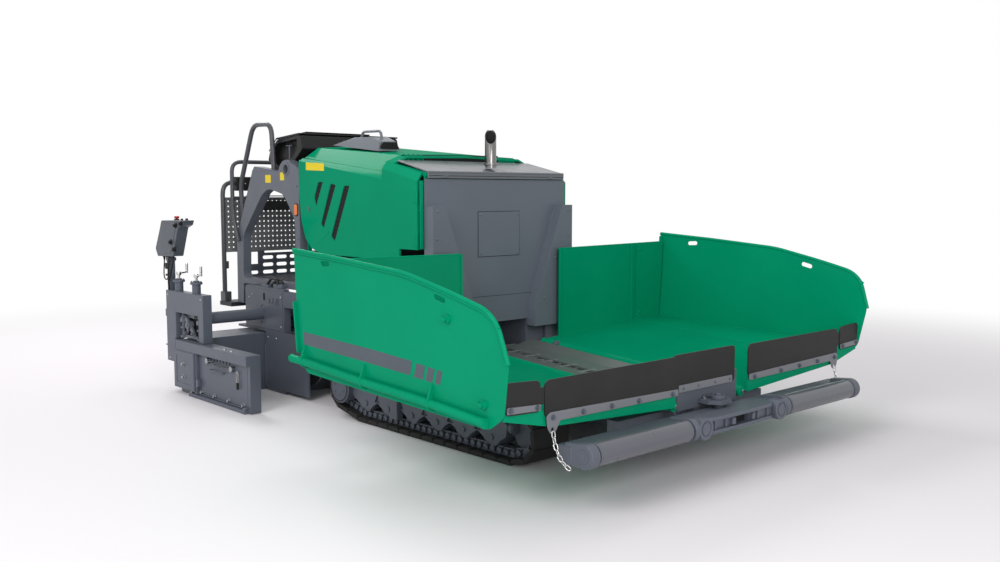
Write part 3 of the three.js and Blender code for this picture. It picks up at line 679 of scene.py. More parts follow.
wallSettings = {
    "face": 1342, "thickness": 8,
    "top": [(1427, 1018), (1014, 993), (558, 958), (264, 896), (68, 848), (6, 798), (-42, 648)],
    "foot": [(0, 436), (91, 375), (1395, 426), (1450, 515)],
    "tube": [(1490, 488), (1300, 480), (948, 456), (456, 434), (89, 406)],
    "webs": [(1380, 484), (894, 453), (417, 431)],
    "slots": [(1163, 965, 74, 24, -3), (343, 868, 72, 24, 13)],
    "knobs": [(296, 791), (104, 475)],
    "stripe": [(1398, 626, 565), (854, 607, 542), (548, 590, 528)],  # y, its top, its foot
    "bars": [(520, 462), (443, 400), (382, 350)],
}
stripeEdges = [(1398, 626, 565), (854, 607, 542), (322, 571, 513)]


def stripeHeights(y):
    for (ya, topA, footA), (yb, topB, footB) in zip(stripeEdges, stripeEdges[1:]):
        if y >= yb or (yb, topB, footB) == stripeEdges[-1]:
            t = (ya - y) / (ya - yb)
            return topA + (topB - topA) * t, footA + (footB - footA) * t


def wingWall(side, name):
    face, inner = wallSettings["face"], wallSettings["face"] - wallSettings["thickness"]
    outline = softOutline(wallSettings["top"] + wallSettings["foot"], 26, 4)
    cutters = [plateOf(slotOutline(y, z, length, width, turn), "x", side * (inner - 10),
                       side * (face + 10), 0)
               for y, z, length, width, turn in wallSettings["slots"]]
    sheet = rounded(carved(plateOf(outline, "x", side * inner, side * face, 0), cutters), 2, 2)
    parts = [sheet]
    rim = [(side * (face - 1), y, z) for y, z in wallSettings["top"]]
    parts.append(tubeOf(rim, 10, 60, sides=4))
    lipOuter = [(side * (face + 3), y - (14 if y < 20 else 0), z - 12)
                for y, z in wallSettings["top"][:-1]]
    parts.append(tubeOf(lipOuter, 5, 60, sides=2))
    tubeX = side * (face + 17)
    parts.append(tubeOf([(tubeX, y, z) for y, z in wallSettings["tube"]], 20, 60, sides=5))
    for y, z in (wallSettings["tube"][0], wallSettings["tube"][-1]):
        parts.append(barOf((tubeX, y - 4, z), (tubeX, y + 4, z), 21.5, 28, 1.5))
    for y, z in wallSettings["webs"]:
        web = softOutline([(side * (face - 3), z + 78), (side * (face + 7), z + 78),
                           (side * (face + 24), z + 40),
                           (side * (face + 37), z + 12), (side * (face + 36), z - 20),
                           (side * (face - 3), z - 36)], 9, 3)
        parts.append(plateOf(web, "y", y, y + 9, 1.5))
    for y, z in wallSettings["knobs"]:
        parts.append(acrossOf(side, face - 2, face + 12, y, z, 17, 24, 2))
        parts.append(acrossOf(side, face + 10, face + 26, y, z, 9, 20, 2))
        parts.append(blockOf(side * (face + 2), side * (face + 14), y + 10, y + 34, z - 7, z + 7, 2))
    parts.append(blockOf(side * (face - 2), side * (face + 18), 1436, 1446, 522, 770, 2))
    parts.append(blockOf(side * (inner - 14), side * (inner + 1), 1404, 1424, 500, 1004, 3))
    dressedAll(parts, greenPaint)
    marks = []
    top = [(y, z) for y, z, _ in wallSettings["stripe"]]
    foot = [(y + (22 if y < 600 else 0), z) for y, _, z in wallSettings["stripe"]]
    marks.append(plateOf(top + foot[::-1], "x", side * (face + 0.2), side * (face + 0.9), 0))
    for rear, front in wallSettings["bars"]:
        (za, ba), (zb, bb) = stripeHeights(rear), stripeHeights(front)
        marks.append(plateOf([(rear, za), (front, zb), (front + 22, bb), (rear + 22, ba)],
                             "x", side * (face + 0.2), side * (face + 0.9), 0))
    dressedAll(marks, stripePaint)
    wall = leaned(joined(parts + marks, f"wingWall_{name}"), side)
    placed(wall, f"wing_{name}", "green_paint", f"hopper_wall_{name}")


rearSettings = {"left": 1399, "right": 1364, "weld": 3.0}  # the rear panels' faces


def wingFloor(side, name):
    rearY = rearSettings[name]
    parts = [refined(f"hopper_floor_{name}", 4)]
    crease = lambda y: 372 + 0.0795 * y
    outer = lambda y: 430 + 0.0425 * y
    edge = lambda y: 330 + 0.07 * y
    seams = [
        [(1326, 20, outer(20) + 1), (1326, rearY - 3, outer(rearY) + 1)],
        [(300, rearY - 2, edge(rearY) + 2), (1080, rearY - 2, crease(rearY) + 1),
         (1326, rearY - 2, outer(rearY) + 1)],
        [(1080, 20, crease(20) + 0.5), (1080, rearY - 3, crease(rearY) + 0.5)],
        [(286, 40, edge(40) - 1), (286, rearY - 3, edge(rearY) - 1)],
    ]
    for seam in seams:
        parts.append(tubeOf([(side * x, y, z) for x, y, z in seam], rearSettings["weld"], 10, sides=2))
    dressedAll(parts, greenPaint)
    placed(joined(parts, f"wingFloor_{name}"), f"wing_{name}", "green_paint", f"hopper_floor_{name}")


def wingRear(side, name):
    rearY = rearSettings[name]
    s = lambda x: side * x
    parts = [plateOf([(s(391), 956), (s(391), 405), (s(1080), 462), (s(1332), 474), (s(1369), 966)],
                     "y",
                     rearY, rearY + 8, 1.5)]
    parts.append(plateOf([(s(1096), 958), (s(1092), 470), (s(1330), 481), (s(1362), 962)], "y",
                         rearY - 7, rearY - 0.5, 1.5))
    parts.append(blockOf(s(1040), s(1056), rearY - 11, rearY + 1, 462, 957, 3))
    parts.append(blockOf(s(391), s(401), rearY - 9, rearY + 8, 410, 955, 3))
    parts.append(tubeOf([(s(392), rearY + 4, 957), (s(1366), rearY + 4, 966)], 5, 10, sides=2))
    parts += fastened(greyScrew, [(s(1128), rearY - 7, 925), (s(1128), rearY - 7, 520)], (0, -1, 0), 18)
    dressedAll(parts, greenPaint)
    placed(joined(parts, f"wingRear_{name}"), f"wing_{name}", "green_paint", f"hopper_rear_{name}")


flapSettings = {
    "thickness": 8, "corner": 34,
    "bolts": [(1080, 404), (905, 402), (730, 399), (555, 396), (322, 393)],
}


def frontFlap(side, name):
    s = lambda x: side * x
    main = softOutline([(s(275), 394), (s(1120), 400), (s(1120), 556), (s(275), 556)],
                       flapSettings["corner"], 6)
    outer = softOutline([(s(1143), 434), (s(1330), 442), (s(1334), 571), (s(1143), 560)], 26, 5)
    parts = [plateOf(main, "y", 0, flapSettings["thickness"], 2),
             plateOf(outer, "y", 0, flapSettings["thickness"], 2),
             blockOf(s(1105), s(1155), 3, 8, 462, 530, 1)]
    dressedAll(parts, flapRubber)
    placed(joined(parts, f"rubberFlap_{name}"), f"wing_{name}", "rubber", f"flap_{name}")
    strap = softOutline([(s(280), 379), (s(1040), 386), (s(1062), 346), (s(1092), 338), (s(1108), 365),
                         (s(1116), 410), (s(1096), 426), (s(280), 409)], 9, 4)
    hole = [slotOutline(s(1082), 356, 17, 16, 0, 6)]
    bars = [frameOf(strap, hole, "y", -5.3, -0.3, 1.2),
            plateOf(softOutline([(s(1146), 441), (s(1326), 449), (s(1326), 476), (s(1146), 466)], 7, 3),
                    "y", -5.3, -0.3, 1.2)]
    dressedAll(bars, paints["strapPaint"])
    bars += fastened(greyBolt, [(s(x), -5.3, z) for x, z in flapSettings["bolts"]], (0, -1, 0), 17)
    bars += fastened(greyBolt, [(s(1166), -5.3, 455), (s(1308), -5.3, 462)], (0, -1, 0), 17)
    placed(joined(bars, f"flapBar_{name}"), f"wing_{name}", "grey_paint", f"flap_strap_{name}")


def centreFlap():
    sheet = softOutline([(-268, 382), (205, 382), (205, 556), (-268, 556)], 22, 5)
    fitted(plateOf(sheet, "y", 30, 38, 2), "rubberFlap_centre", flapRubber, "chassis", "rubber",
           "flap_centre")
    strap = softOutline([(-236, 381), (178, 381), (178, 415), (-236, 415)], 6, 3)
    bar = [dressed(plateOf(strap, "y", 24.7, 29.7, 1.2), paints["strapPaint"])]
    bar += fastened(greyScrew, [(x, 24.7, 398) for x in (-202, -90, 40, 156)], (0, -1, 0), 14)
    placed(joined(bar, "flapBar_centre"), "chassis", "grey_paint", "flap_strap_centre")


chainSettings = {"wire": 2.5, "ring": 8, "stretch": 11, "pitch": 24}


def linkModel():
    # one oval chain link, its long way along Z
    bpy.ops.mesh.primitive_torus_add(major_radius=chainSettings["ring"] / 1000,
                                     minor_radius=chainSettings["wire"] / 1000,
                                     major_segments=20, minor_segments=8, location=(0, 0, 0),
                                     rotation=(math.radians(90), 0, 0))
    link = settle(added())
    for vertex in link.data.vertices:
        vertex.co.z += math.copysign(chainSettings["stretch"] / 1000 / 2, vertex.co.z)
    return dressed(smoothed(link, 60), brightSteel)


def chainAlong(points, name, body):
    # links every few centimetres along a line, each turned a quarter from the last
    path = filletPath(points, 60, 6)
    lengths = [(b - a).length for a, b in zip(path, path[1:])]
    total = sum(lengths)
    count = max(3, round(total * 1000 / chainSettings["pitch"]))
    model = linkModel()
    links = []
    for i in range(count):
        along = total * (i + 0.5) / count
        for a, b, length in zip(path, path[1:], lengths):
            if along <= length:
                place, way = a.lerp(b, along / length), (b - a).normalized()
                break
            along -= length
        facing = way.to_track_quat("Z", "Y").to_matrix()
        turn = facing @ Matrix.Rotation(math.radians(90 * (i % 2) + 25), 3, "Z")
        links.append(copiedTo(model, place, turn))
    dropped(model)
    chain = joined(links, name)
    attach(chain, body)
    return chain


for side, label in sides:
    for build in (wingWall, wingFloor, wingRear, frontFlap):
        build(side, label)
    chainAlong([(side * 1082, -8, 348), (side * 1080, -14, 300), (side * 1078, -44, 238),
                (side * 1072, -92, 208)],
               f"chain_{label}", f"wing_{label}")
centreFlap()
print("hopper ready")

# push beam, its rollers and the conveyor behind it

pushBeamSettings = {
    "y": -130, "z": 260, "lug": 52, "roller": 49,
    "bossX": 298, "boss": 50, "bossInner": 29,
}


def lugOutline(radius, back, low, high, steps=16):
    # round in front about the rollers' line, straight back to the beam
    s = pushBeamSettings
    angles = [math.radians(90 + 180 * i / steps) for i in range(steps + 1)]
    arc = [(s["y"] + radius * math.cos(a), s["z"] + radius * math.sin(a)) for a in angles]
    return arc + [(back, low), (back, high)]


def pushBeam():
    s = pushBeamSettings
    recess = [blockOf(side * 480, side * 392, -82, -60, 232, 276, 0) for side in (1, -1)]
    carrier = rounded(carved(blockOf(-1043, 1043, -72, 8, 218, 290, 0), recess), 7, 3)
    parts = [carrier]
    for side in (1, -1):
        parts += [plateOf(lugOutline(s["lug"], -30, 216, 302), "x", side * 991, side * 1040, 6, 3),
                  acrossOf(side, 1039, 1043, s["y"], s["z"], 28, 32, 1.2),
                  acrossOf(side, 1042, 1045, s["y"], s["z"], 15, 24, 1),
                  plateOf(lugOutline(s["lug"], -30, 216, 302), "x", side * 345, side * 378, 6, 3),
                  acrossOf(side, 376, 384, s["y"], s["z"], 33, 32, 1.5)]
        cup = carved(barOf((side * s["bossX"], -118, s["z"]), (side * s["bossX"], -176, s["z"]),
                           s["boss"], 40, 0),
                     [barOf((side * s["bossX"], -171, s["z"]), (side * s["bossX"], -190, s["z"]), 34,
                            40, 0)])
        parts += [rounded(cup, 3.5, 2, 40),
                  barOf((side * s["bossX"], -165, s["z"]), (side * s["bossX"], -176, s["z"]),
                        s["bossInner"], 32, 2)]
    nose = [(-345, -62), (-345, -140), (-250, -150), (-232, -164), (-64, -170), (64, -170), (232, -164),
            (250, -150), (345, -140), (345, -62)]
    web = carved(plateOf([(x, max(y, -148)) for x, y in nose], "z", 228, 292, 0),
                 [blockOf(-62, 62, -190, -112, 240, 281, 0)])
    parts += [rounded(web, 3, 2), plateOf(nose, "z", 281, 298, 4, 2),
              plateOf(nose, "z", 222, 240, 4, 2)]
    for side in (1, -1):
        parts.append(hullOf([(side * 66, -146, 240), (side * 66, -146, 281), (side * 66, -168, 246),
                             (side * 66, -168, 275), (side * 88, -146, 240), (side * 88, -146, 281),
                             (side * 88, -165, 246), (side * 88, -165, 275)], 2))
        for x in (120, 200):
            parts.append(plateOf([(-140, 240), (-140, 281), (-158, 281), (-158, 240)], "x",
                                 side * x, side * (x + 12), 2))
    fitted(parts, "push_beam_finished", greyPaint, "push_beam", "grey_paint", "push_beam")
    # painted shade: a near-black block fills the back of the beam's middle pocket
    fitted(blockOf(-61, 61, -125, -112.5, 241, 280, 0), "push_beam_pocket", blackAndPaintedShade, "push_beam",
           "grey_paint")


def pushRoller(side, sideName):
    s = pushBeamSettings
    body = acrossOf(side, 389, 985, s["y"], s["z"], s["roller"], 56, 6)
    rings = [acrossOf(side, x - 2, x + 2, s["y"], s["z"], s["roller"] + 0.6, 56, 0.5)
             for x in (402, 972)]
    fitted([body, *rings], f"push_roller_{sideName}_finished", paints["rollerPaint"],
           f"roller_{sideName}", "grey_paint", f"push_roller_{sideName}")
    fitted(acrossOf(side, 352, 1010, s["y"], s["z"], 17, 28, 1), f"push_roller_shaft_{sideName}",
           screwSteel, f"roller_{sideName}", "steel")


def beamHitch():
    # the pin plate, its locking arm and the handle over the swing pin
    parts = [
        barOf((0, -20, 330), (0, -20, 348), 34, 32, 3),
        barOf((0, -20, 346), (0, -20, 358), 15, 24, 2),
        blockOf(-16, 16, -10, 96, 331, 345, 4),
        tubeOf([(-52, 66, 328), (-52, 66, 372), (52, 66, 372), (52, 66, 328)], 6.5, 18),
        blockOf(-120, -80, 96, 170, 286, 372, 4), blockOf(80, 120, 96, 170, 286, 372, 4),
        blockOf(-230, 230, 150, 168, 196, 296, 3),
    ]
    fitted(parts, "beam_hitch", greyPaint, "chassis", "grey_paint")
    bolts = fastened(steelBolt, [(-38, 100, 330), (38, 100, 330), (-38, 30, 330), (38, 30, 330)],
                     (0, 0, 1), 16)
    fitted(bolts, "beam_hitch_bolts", screwSteel, "chassis", "steel")


conveyorSettings = {"rise": 0.07, "slot": 30, "guardFrom": 46, "guardTo": 1486, "linkPitch": 62}


def conveyorGuards():
    # two folded plates over the chain, with the chain showing between them
    s = conveyorSettings
    rise = s["rise"]
    plates = []
    for side in (1, -1):
        for (xa, za), (xb, zb) in (((s["slot"], 296), (150, 301)), ((150, 301), (236, 325))):
            plates.append(hullOf([(side * x, y, z + rise * y - drop)
                                  for y in (s["guardFrom"], s["guardTo"])
                                  for x, z in ((xa, za), (xb, zb)) for drop in (0, 5)], 1.2))
        plates.append(hullOf([(side * x, y, z + rise * y) for y in (s["guardFrom"], s["guardTo"])
                              for x in (s["slot"] - 4, s["slot"]) for z in (284, 298)], 1))
    fitted(plates, "conveyor_guards", paints["wornGuard"], "chassis", "grey_paint")
    links = []
    count = int((s["guardTo"] - s["guardFrom"] - 60) / s["linkPitch"])
    for i in range(count):
        y = s["guardFrom"] + 40 + i * s["linkPitch"]
        z = 289 + rise * y
        links.append(barOf((-17, y, z), (17, y, z), 5, 10, 0.6))
        for x in (-13, 11):
            links.append(blockOf(x, x + 3, y - 4, y + s["linkPitch"] + 2, z - 6, z + 6, 0.8, 1))
    fitted(links, "conveyor_chain", chainSteel, "chassis", "steel")


def hingeLugs():
    # green eyes at the wings' hinge line, in front of the first knuckle
    for side, sideName in sides:
        parts = [barOf((side * 264, 26, 323), (side * 264, 88, 327), 17, 28, 2),
                 blockOf(side * 262, side * 300, 30, 84, 318, 338, 4)]
        fitted(parts, f"wing_hinge_eye_{sideName}", greenPaint, f"wing_{sideName}", "green_paint")
        fitted(barOf((side * 264, 18, 322.5), (side * 264, 27, 323), 9, 6, 1),
               f"wing_hinge_pin_{sideName}", screwSteel, f"wing_{sideName}", "steel")


pushBeam()
for side, sideName in sides:
    pushRoller(side, sideName)
beamHitch()
conveyorGuards()
hingeLugs()
print("push beam and conveyor ready")


# front plate, lid, exhaust, hood and doors

frontSettings = {"panel": (-158, 158, 928, 1180), "skirt": (380, 534)}


def frontPlate():
    fitted(refined("front_plate", 2.5), "front_plate_finished", frontGreyPaint, "chassis", "grey_paint",
           "front_plate")
    x0, x1, z0, z1 = frontSettings["panel"]
    fitted(blockOf(x0 - 3, x1 + 3, 1495.8, 1497.4, z0 - 3, z1 + 3, 0), "access_panel_groove",
           blackAndPaintedShade, "chassis", "grey_paint")
    screws = fastened(greyScrew, [(x, 1494, z) for x in (x0 + 17, x1 - 17) for z in (z0 + 17, z1 - 17)],
                      (0, -1, 0), 15)
    screws += fastened(greyScrew, [(side * x, 1430, z) for side in (1, -1)
                                   for x, z in ((500, 1188), (505, 1040), (505, 820), (392, 905),
                                                (300, 672))],
                       (0, -1, 0), 15)
    fitted(screws, "front_plate_screws", frontGreyPaint, "chassis", "grey_paint")
    fitted(blockOf(-534, 534, 1496.6, 1498, 698.8, 701.2, 0), "front_plate_seam", blackAndPaintedShade, "chassis",
           "grey_paint")
    for side, name in sides:
        skirt = blockOf(*(side * x for x in frontSettings["skirt"]), 1500, 1512, 395, 570, 1.5)
        fitted(skirt, f"front_skirt_{name}", frontGreyPaint, "chassis", "grey_paint")


lidSettings = {"x": 520, "front": 1490, "rear": 1785, "frontZ": 1402, "rearZ": 1470}


def frontLid():
    s = lidSettings
    drop = (s["rearZ"] - s["frontZ"]) / (s["rear"] - s["front"])
    top = hullOf([(side * x, y, z - down) for side in (1, -1) for down in (0, 11)
                  for y, z, x in ((s["front"], s["frontZ"], 517), (s["rear"], s["rearZ"], 504))], 5, 3)
    apron = blockOf(-s["x"], s["x"], s["front"] - 3, s["front"] + 7, 1364, s["frontZ"] - 3, 4, 3)
    roll = barOf((-s["x"] + 2, s["front"] + 3, s["frontZ"] - 5),
                 (s["x"] - 2, s["front"] + 3, s["frontZ"] - 5), 7.5, 24, 1)
    fitted([top, apron, roll], "front_lid_finished", lidPaint, "chassis", "light_grey_paint",
           "front_lid")
    seamParts = [blockOf(-s["x"] + 6, s["x"] - 6, s["front"] - 3.6, s["front"] - 2, 1377, 1380, 0)]
    ends = (s["front"] + 12, s["rear"] - 4)
    seamParts.append(hullOf([(x, y, s["frontZ"] + drop * (y - s["front"]) + up)
                             for x in (58, 60) for y in ends for up in (-1, 0.5)], 0))
    fitted(seamParts, "front_lid_seams", blackAndPaintedShade, "chassis", "light_grey_paint")
    latches = []
    for x in (-400, 400):
        latches += [blockOf(x - 17, x + 17, s["front"] - 7, s["front"] - 2, 1368, 1392, 2.5),
                    barOf((x, s["front"] - 7, 1380), (x, s["front"] - 10, 1380), 6, 16, 1)]
    fitted(latches, "front_lid_latches", lidPaint, "chassis", "light_grey_paint")


exhaustSettings = {"y": 1569, "low": 1430, "top": 1646, "radius": 33, "wall": 3, "mouthTurn": 40}


def exhaust():
    # a polished tailpipe, cut on the slant so that its mouth looks forward
    s = exhaustSettings
    pipe = barOf((0, s["y"], s["low"]), (0, s["y"], s["top"]), s["radius"], 48, 0)
    bore = barOf((0, s["y"], s["low"] + 26), (0, s["y"], s["top"] + 20), s["radius"] - s["wall"], 48, 0)
    a = math.radians(s["mouthTurn"])
    slant = hullOf([(x * math.cos(a) + y * math.sin(a), s["y"] - x * math.sin(a) + y * math.cos(a), z)
                    for x in (-70, 70) for y, z in ((-69, 1553), (-39, 1553), (35, 1655), (71, 1760),
                                                    (-69, 1760))], 0)
    lower = slant.copy()
    lower.data = slant.data.copy()
    scene.collection.objects.link(lower)
    lower.data.transform(Matrix.Translation((0, 0, -0.004)))
    pipe = rounded(carved(pipe, [bore, slant]), 0.8, 2, 40)
    # the pipe's inside is lined near-black: soot together with painted shade
    fitted(carved(barOf((0, s["y"], s["low"] + 28), (0, s["y"], s["top"]),
                        s["radius"] - s["wall"] - 0.3, 48, 0),
                  [barOf((0, s["y"], s["low"] + 26), (0, s["y"], s["top"] + 20),
                         s["radius"] - s["wall"] - 1.8, 48, 0), lower]), "exhaust_liner", blackAndPaintedShade,
           "chassis", "steel")
    collar = barOf((0, s["y"], 1442), (0, s["y"], 1456), s["radius"] + 8, 40, 2)
    fitted([pipe, collar], "exhaust_pipe_finished", warmSteel, "chassis", "steel", "exhaust_pipe")
    # a near-black disc low in the bore: soot together with painted shade
    fitted(barOf((0, s["y"], s["low"] + 27), (0, s["y"], s["low"] + 34), s["radius"] - s["wall"] - 0.3,
                 32, 0), "exhaust_soot_and_shade", blackAndPaintedShade, "chassis", "steel")


hoodSettings = {"trough": (-440, 440, 1796, 1842), "fins": [-420, -385, -350, -315]}


def hoodTop():
    x0, x1, y0, y1 = hoodSettings["trough"]
    top = carved(refined("hood_top", 0), [blockOf(x0, x1, y0, y1, 1440, 1640, 0)])
    fitted(rounded(top, 5, 3), "hood_top_finished", greenPaint, "chassis", "green_paint", "hood_top")
    # painted shade: a near-black plate under the trough opening stands for the dark engine bay
    fitted(blockOf(x0 - 8, x1 + 8, y0 - 6, y1 - 1, 1462, 1468, 0), "hood_trough", blackAndPaintedShade, "chassis",
           "black_plastic")
    fins = [plateOf([(y0 - 2, 1466), (y0 - 2, 1494), (y1 + 2, 1508), (y1 + 2, 1466)], "x", x, x + 5, 1)
            for x in hoodSettings["fins"]]
    fitted(fins, "hood_trough_fins", greenPaint, "chassis", "green_paint")
    # painted shade: a near-black strip on the trough's rear riser stands for the louvre openings
    fitted(hullOf([(x, y, z) for x, low, high in ((-430, 1473, 1500), (300, 1473, 1512))
                   for y, z in ((1838, low), (1840.5, low), (1838, high), (1840.5, high))], 0),
           "hood_louvre", blackAndPaintedShade, "chassis", "black_plastic")
    edges = [blockOf(side * 536, side * 558, 1509, 1518, 984, 1352, 2) for side in (1, -1)]
    fitted(edges, "hood_front_edges", greenPaint, "chassis", "green_paint")


doorSettings = {
    "face": 565, "recess": 7,
    "vents": [  # (y, z) corners of the slanted openings
        [(2506, 1352), (2452, 1352), (2532, 1202), (2552, 1260)],
        [(2369, 1340), (2311, 1334), (2450, 1075), (2481, 1098)],
        [(2226, 1328), (2167, 1327), (2330, 999), (2371, 1026)]],
    "sticker": (2437, 2640, 1418, 1462), "lock": (2612, 1190), "hinges": [1263, 1027],
    "crease": [(2398, 1050), (2560, 968)],
}


def hoodDoor(side, sideName):
    s = doorSettings
    face, body = side * s["face"], f"door_{sideName}"
    deep = side * (s["face"] - s["recess"])
    door = carved(refined(f"hood_door_{sideName}", 0),
                  [plateOf(softOutline(v, 10), "x", side * (s["face"] + 20), deep, 0)
                   for v in s["vents"]])
    fitted(rounded(door, 4, 3), f"hood_door_{sideName}_finished", greenPaint, body, "green_paint",
           f"hood_door_{sideName}")
    ventShadeAndSlats = []
    for vent in s["vents"]:
        # painted shade: a near-black sheet floors each opening, with near-black slats across it
        ventShadeAndSlats.append(plateOf(softOutline(vent, 10), "x", deep - side * 1, deep + side * 1.5, 0))
        low, high = min(z for _, z in vent), max(z for _, z in vent)
        for step in range(int((high - low) / 26)):  # slats across each opening
            z = low + 16 + step * 26
            left = sorted(y for y in edgeCrossings(vent, z))
            if len(left) > 1:
                ventShadeAndSlats.append(plateOf([(left[0] + 2, z - 1.5), (left[-1] - 2, z - 1.5),
                                       (left[-1] - 2, z + 1.5),
                                       (left[0] + 2, z + 1.5)], "x", deep, deep + side * 4, 0.5, 1))
    fitted(ventShadeAndSlats, f"door_vents_{sideName}", blackAndPaintedShade, body, "black_plastic")
    y0, y1, z0, z1 = s["sticker"]
    fitted(plateOf(softOutline([(y0, z0), (y1, z0 + 8), (y1, z1 + 11), (y0, z1)], 5), "x", face,
                   side * (s["face"] + 0.8), 0), f"door_sticker_{sideName}", stickerYellow, body,
           "green_paint")
    fitted([barOf((face, *s["lock"]), (side * (s["face"] + 3), *s["lock"]), 12, 24, 1.2),
            barOf((side * (s["face"] + 2), *s["lock"]), (side * (s["face"] + 4.5), *s["lock"]), 6, 16,
                  0.8)], f"door_lock_{sideName}", greyPaint, body, "grey_paint")
    hinges = []
    for z in s["hinges"]:
        hinges += [barOf((side * 567, 1529.5, z - 34), (side * 567, 1529, z + 34), 6, 16, 1),
                   blockOf(side * 565, side * 568.5, 1532, 1562, z - 26, z + 26, 1.5)]
    fitted(hinges, f"door_hinges_{sideName}", greenPaint, body, "green_paint")
    fitted(hullOf([(side * x, y + dy, z + dz) for x, w in ((s["face"] - 2, 14), (s["face"] + 3.5, 3))
                   for y, z in s["crease"] for dy, dz in ((-w / 2, -w), (w / 2, w))], 1),
           f"door_crease_{sideName}", greenPaint, body, "green_paint")


def edgeCrossings(outline, level):
    # where a level line meets an outline's edges
    found = []
    for (ya, za), (yb, zb) in zip(outline, outline[1:] + outline[:1]):
        if (za - level) * (zb - level) < 0:
            found.append(ya + (yb - ya) * (level - za) / (zb - za))
    return found


def intake():
    fitted(refined("intake_cover", 11, 4, 30), "intake_cover_finished", paints["intakePaint"],
           "chassis", "light_grey_paint", "intake_cover")
    # painted shade: a near-black plate fills the intake's mouth
    fitted(plateOf(softOutline([(-386, 1546), (-249, 1546), (-268, 1586), (-367, 1584)], 12), "y", 2106,
                   2116, 0), "intake_mouth", blackAndPaintedShade, "chassis", "black_plastic")
    bars = [blockOf(x, x + 4, 2104, 2108, 1547, 1583, 1) for x in range(-362, -268, 22)]
    fitted(bars, "intake_bars", blackAndPaintedShade, "chassis", "black_plastic")


frontPlate()
frontLid()
exhaust()
hoodTop()
for side, sideName in sides:
    hoodDoor(side, sideName)
intake()
print("tractor front and hood ready")


# tracks

trackSettings = {
    "inside": 470, "outside": 700, "shoe": 26, "pads": 38, "gap": 5,
    "idler": (625, 152, 136), "sprocket": (2062, 170, 132), "ground": (700, 1885),
    "hub": 92, "rollers": [800, 1010, 1220, 1430, 1640, 1850],
}


def trackLine(depth, steps=14):
    # the loop (y, z) at a depth inside the pads' soles, from the front of the ground run
    s = trackSettings
    points = [(s["ground"][0], depth), (s["ground"][1], depth)]
    for (y, z, radius), a0, a1 in ((s["sprocket"], -84, 91), (s["idler"], 91, 256)):
        for i in range(steps):
            a = math.radians(a0 + (a1 - a0) * i / (steps - 1))
            points.append((y + (radius - depth) * math.cos(a), z + (radius - depth) * math.sin(a)))
    return points


def walked(loop, count):
    # evenly spaced places and directions round the loop
    runs = [math.dist(a, b) for a, b in zip(loop, loop[1:] + loop[:1])]
    total = sum(runs)
    found = []
    for i in range(count):
        left = total * i / count
        for a, b, run in zip(loop, loop[1:] + loop[:1], runs):
            if left <= run:
                t = left / run
                found.append((a[0] + (b[0] - a[0]) * t, a[1] + (b[1] - a[1]) * t,
                              math.atan2(b[1] - a[1], b[0] - a[0])))
                break
            left -= run
    return found, total / count


def around(model, side, y, z, angle):
    turn = Matrix.Rotation(angle, 3, "X")
    if side < 0:
        turn = Matrix.Diagonal((-1, 1, 1)) @ turn
    return copiedTo(model, mm(0, y, z), turn)


def track(side, sideName):
    s = trackSettings
    spots, pitch = walked(trackLine(0), s["pads"])
    half = pitch / 2 - s["gap"] / 2
    toFlap = -flapPlane * 1000  # models stand at the world's own zero
    x0, x1, thick = s["inside"], s["outside"], s["shoe"]
    pad = plateOf([(toFlap - half, 0.6), (toFlap + half, 0.6), (toFlap + half, thick - 8),
                   (toFlap + half - 12, thick), (toFlap - half + 12, thick),
                   (toFlap - half, thick - 8)],
                  "x", x0, x1, 3, 2)
    pads = [around(pad, side, y, z, a) for y, z, a in spots]
    dropped(pad)
    for piece in pads:
        tidyNormals(piece)
    fitted(pads, f"track_pads_{sideName}", padRubber, "chassis", "rubber", f"track_{sideName}")
    link = [blockOf(x, x + 12, toFlap - pitch * 0.49, toFlap + pitch * 0.49, thick - 1, thick + 46, 5,
                    2)
            for x in (x1 - 58, x1 - 96)]
    link += [barOf((x1 - 108, toFlap + shift, thick + 22), (x1 - 42, toFlap + shift, thick + 22), 10,
                   16, 1.5)
             for shift in (-pitch * 0.25, pitch * 0.25)]
    link += [barOf((x1 - 47, toFlap + shift, thick + 20), (x1 - 36, toFlap + shift, thick + 20), 17, 18,
                   3)
             for shift in (-pitch * 0.25, pitch * 0.25)]
    # painted shade: near-black patches on the link plates stand for the holes in them
    slot = [blockOf(x1 - 46.5, x1 - 45, toFlap + pitch * shift - 8, toFlap + pitch * shift + 8,
                    thick + 10, thick + 38, 0)
            for shift in (0, 0.5)]
    slotModel = dressed(joined(slot, "slotParts"), blackAndPaintedShade)
    slots = [around(slotModel, side, y, z, a) for y, z, a in spots]
    dropped(slotModel)
    for piece in slots:
        tidyNormals(piece)
    placed(joined(slots, f"track_link_slots_{sideName}"), "chassis", "grey_paint")
    model = dressed(joined(link, "linkParts"), greyPaint)
    links = [around(model, side, y, z, a) for y, z, a in spots]
    dropped(model)
    for piece in links:
        tidyNormals(piece)
    placed(joined(links, f"track_links_{sideName}"), "chassis", "grey_paint")


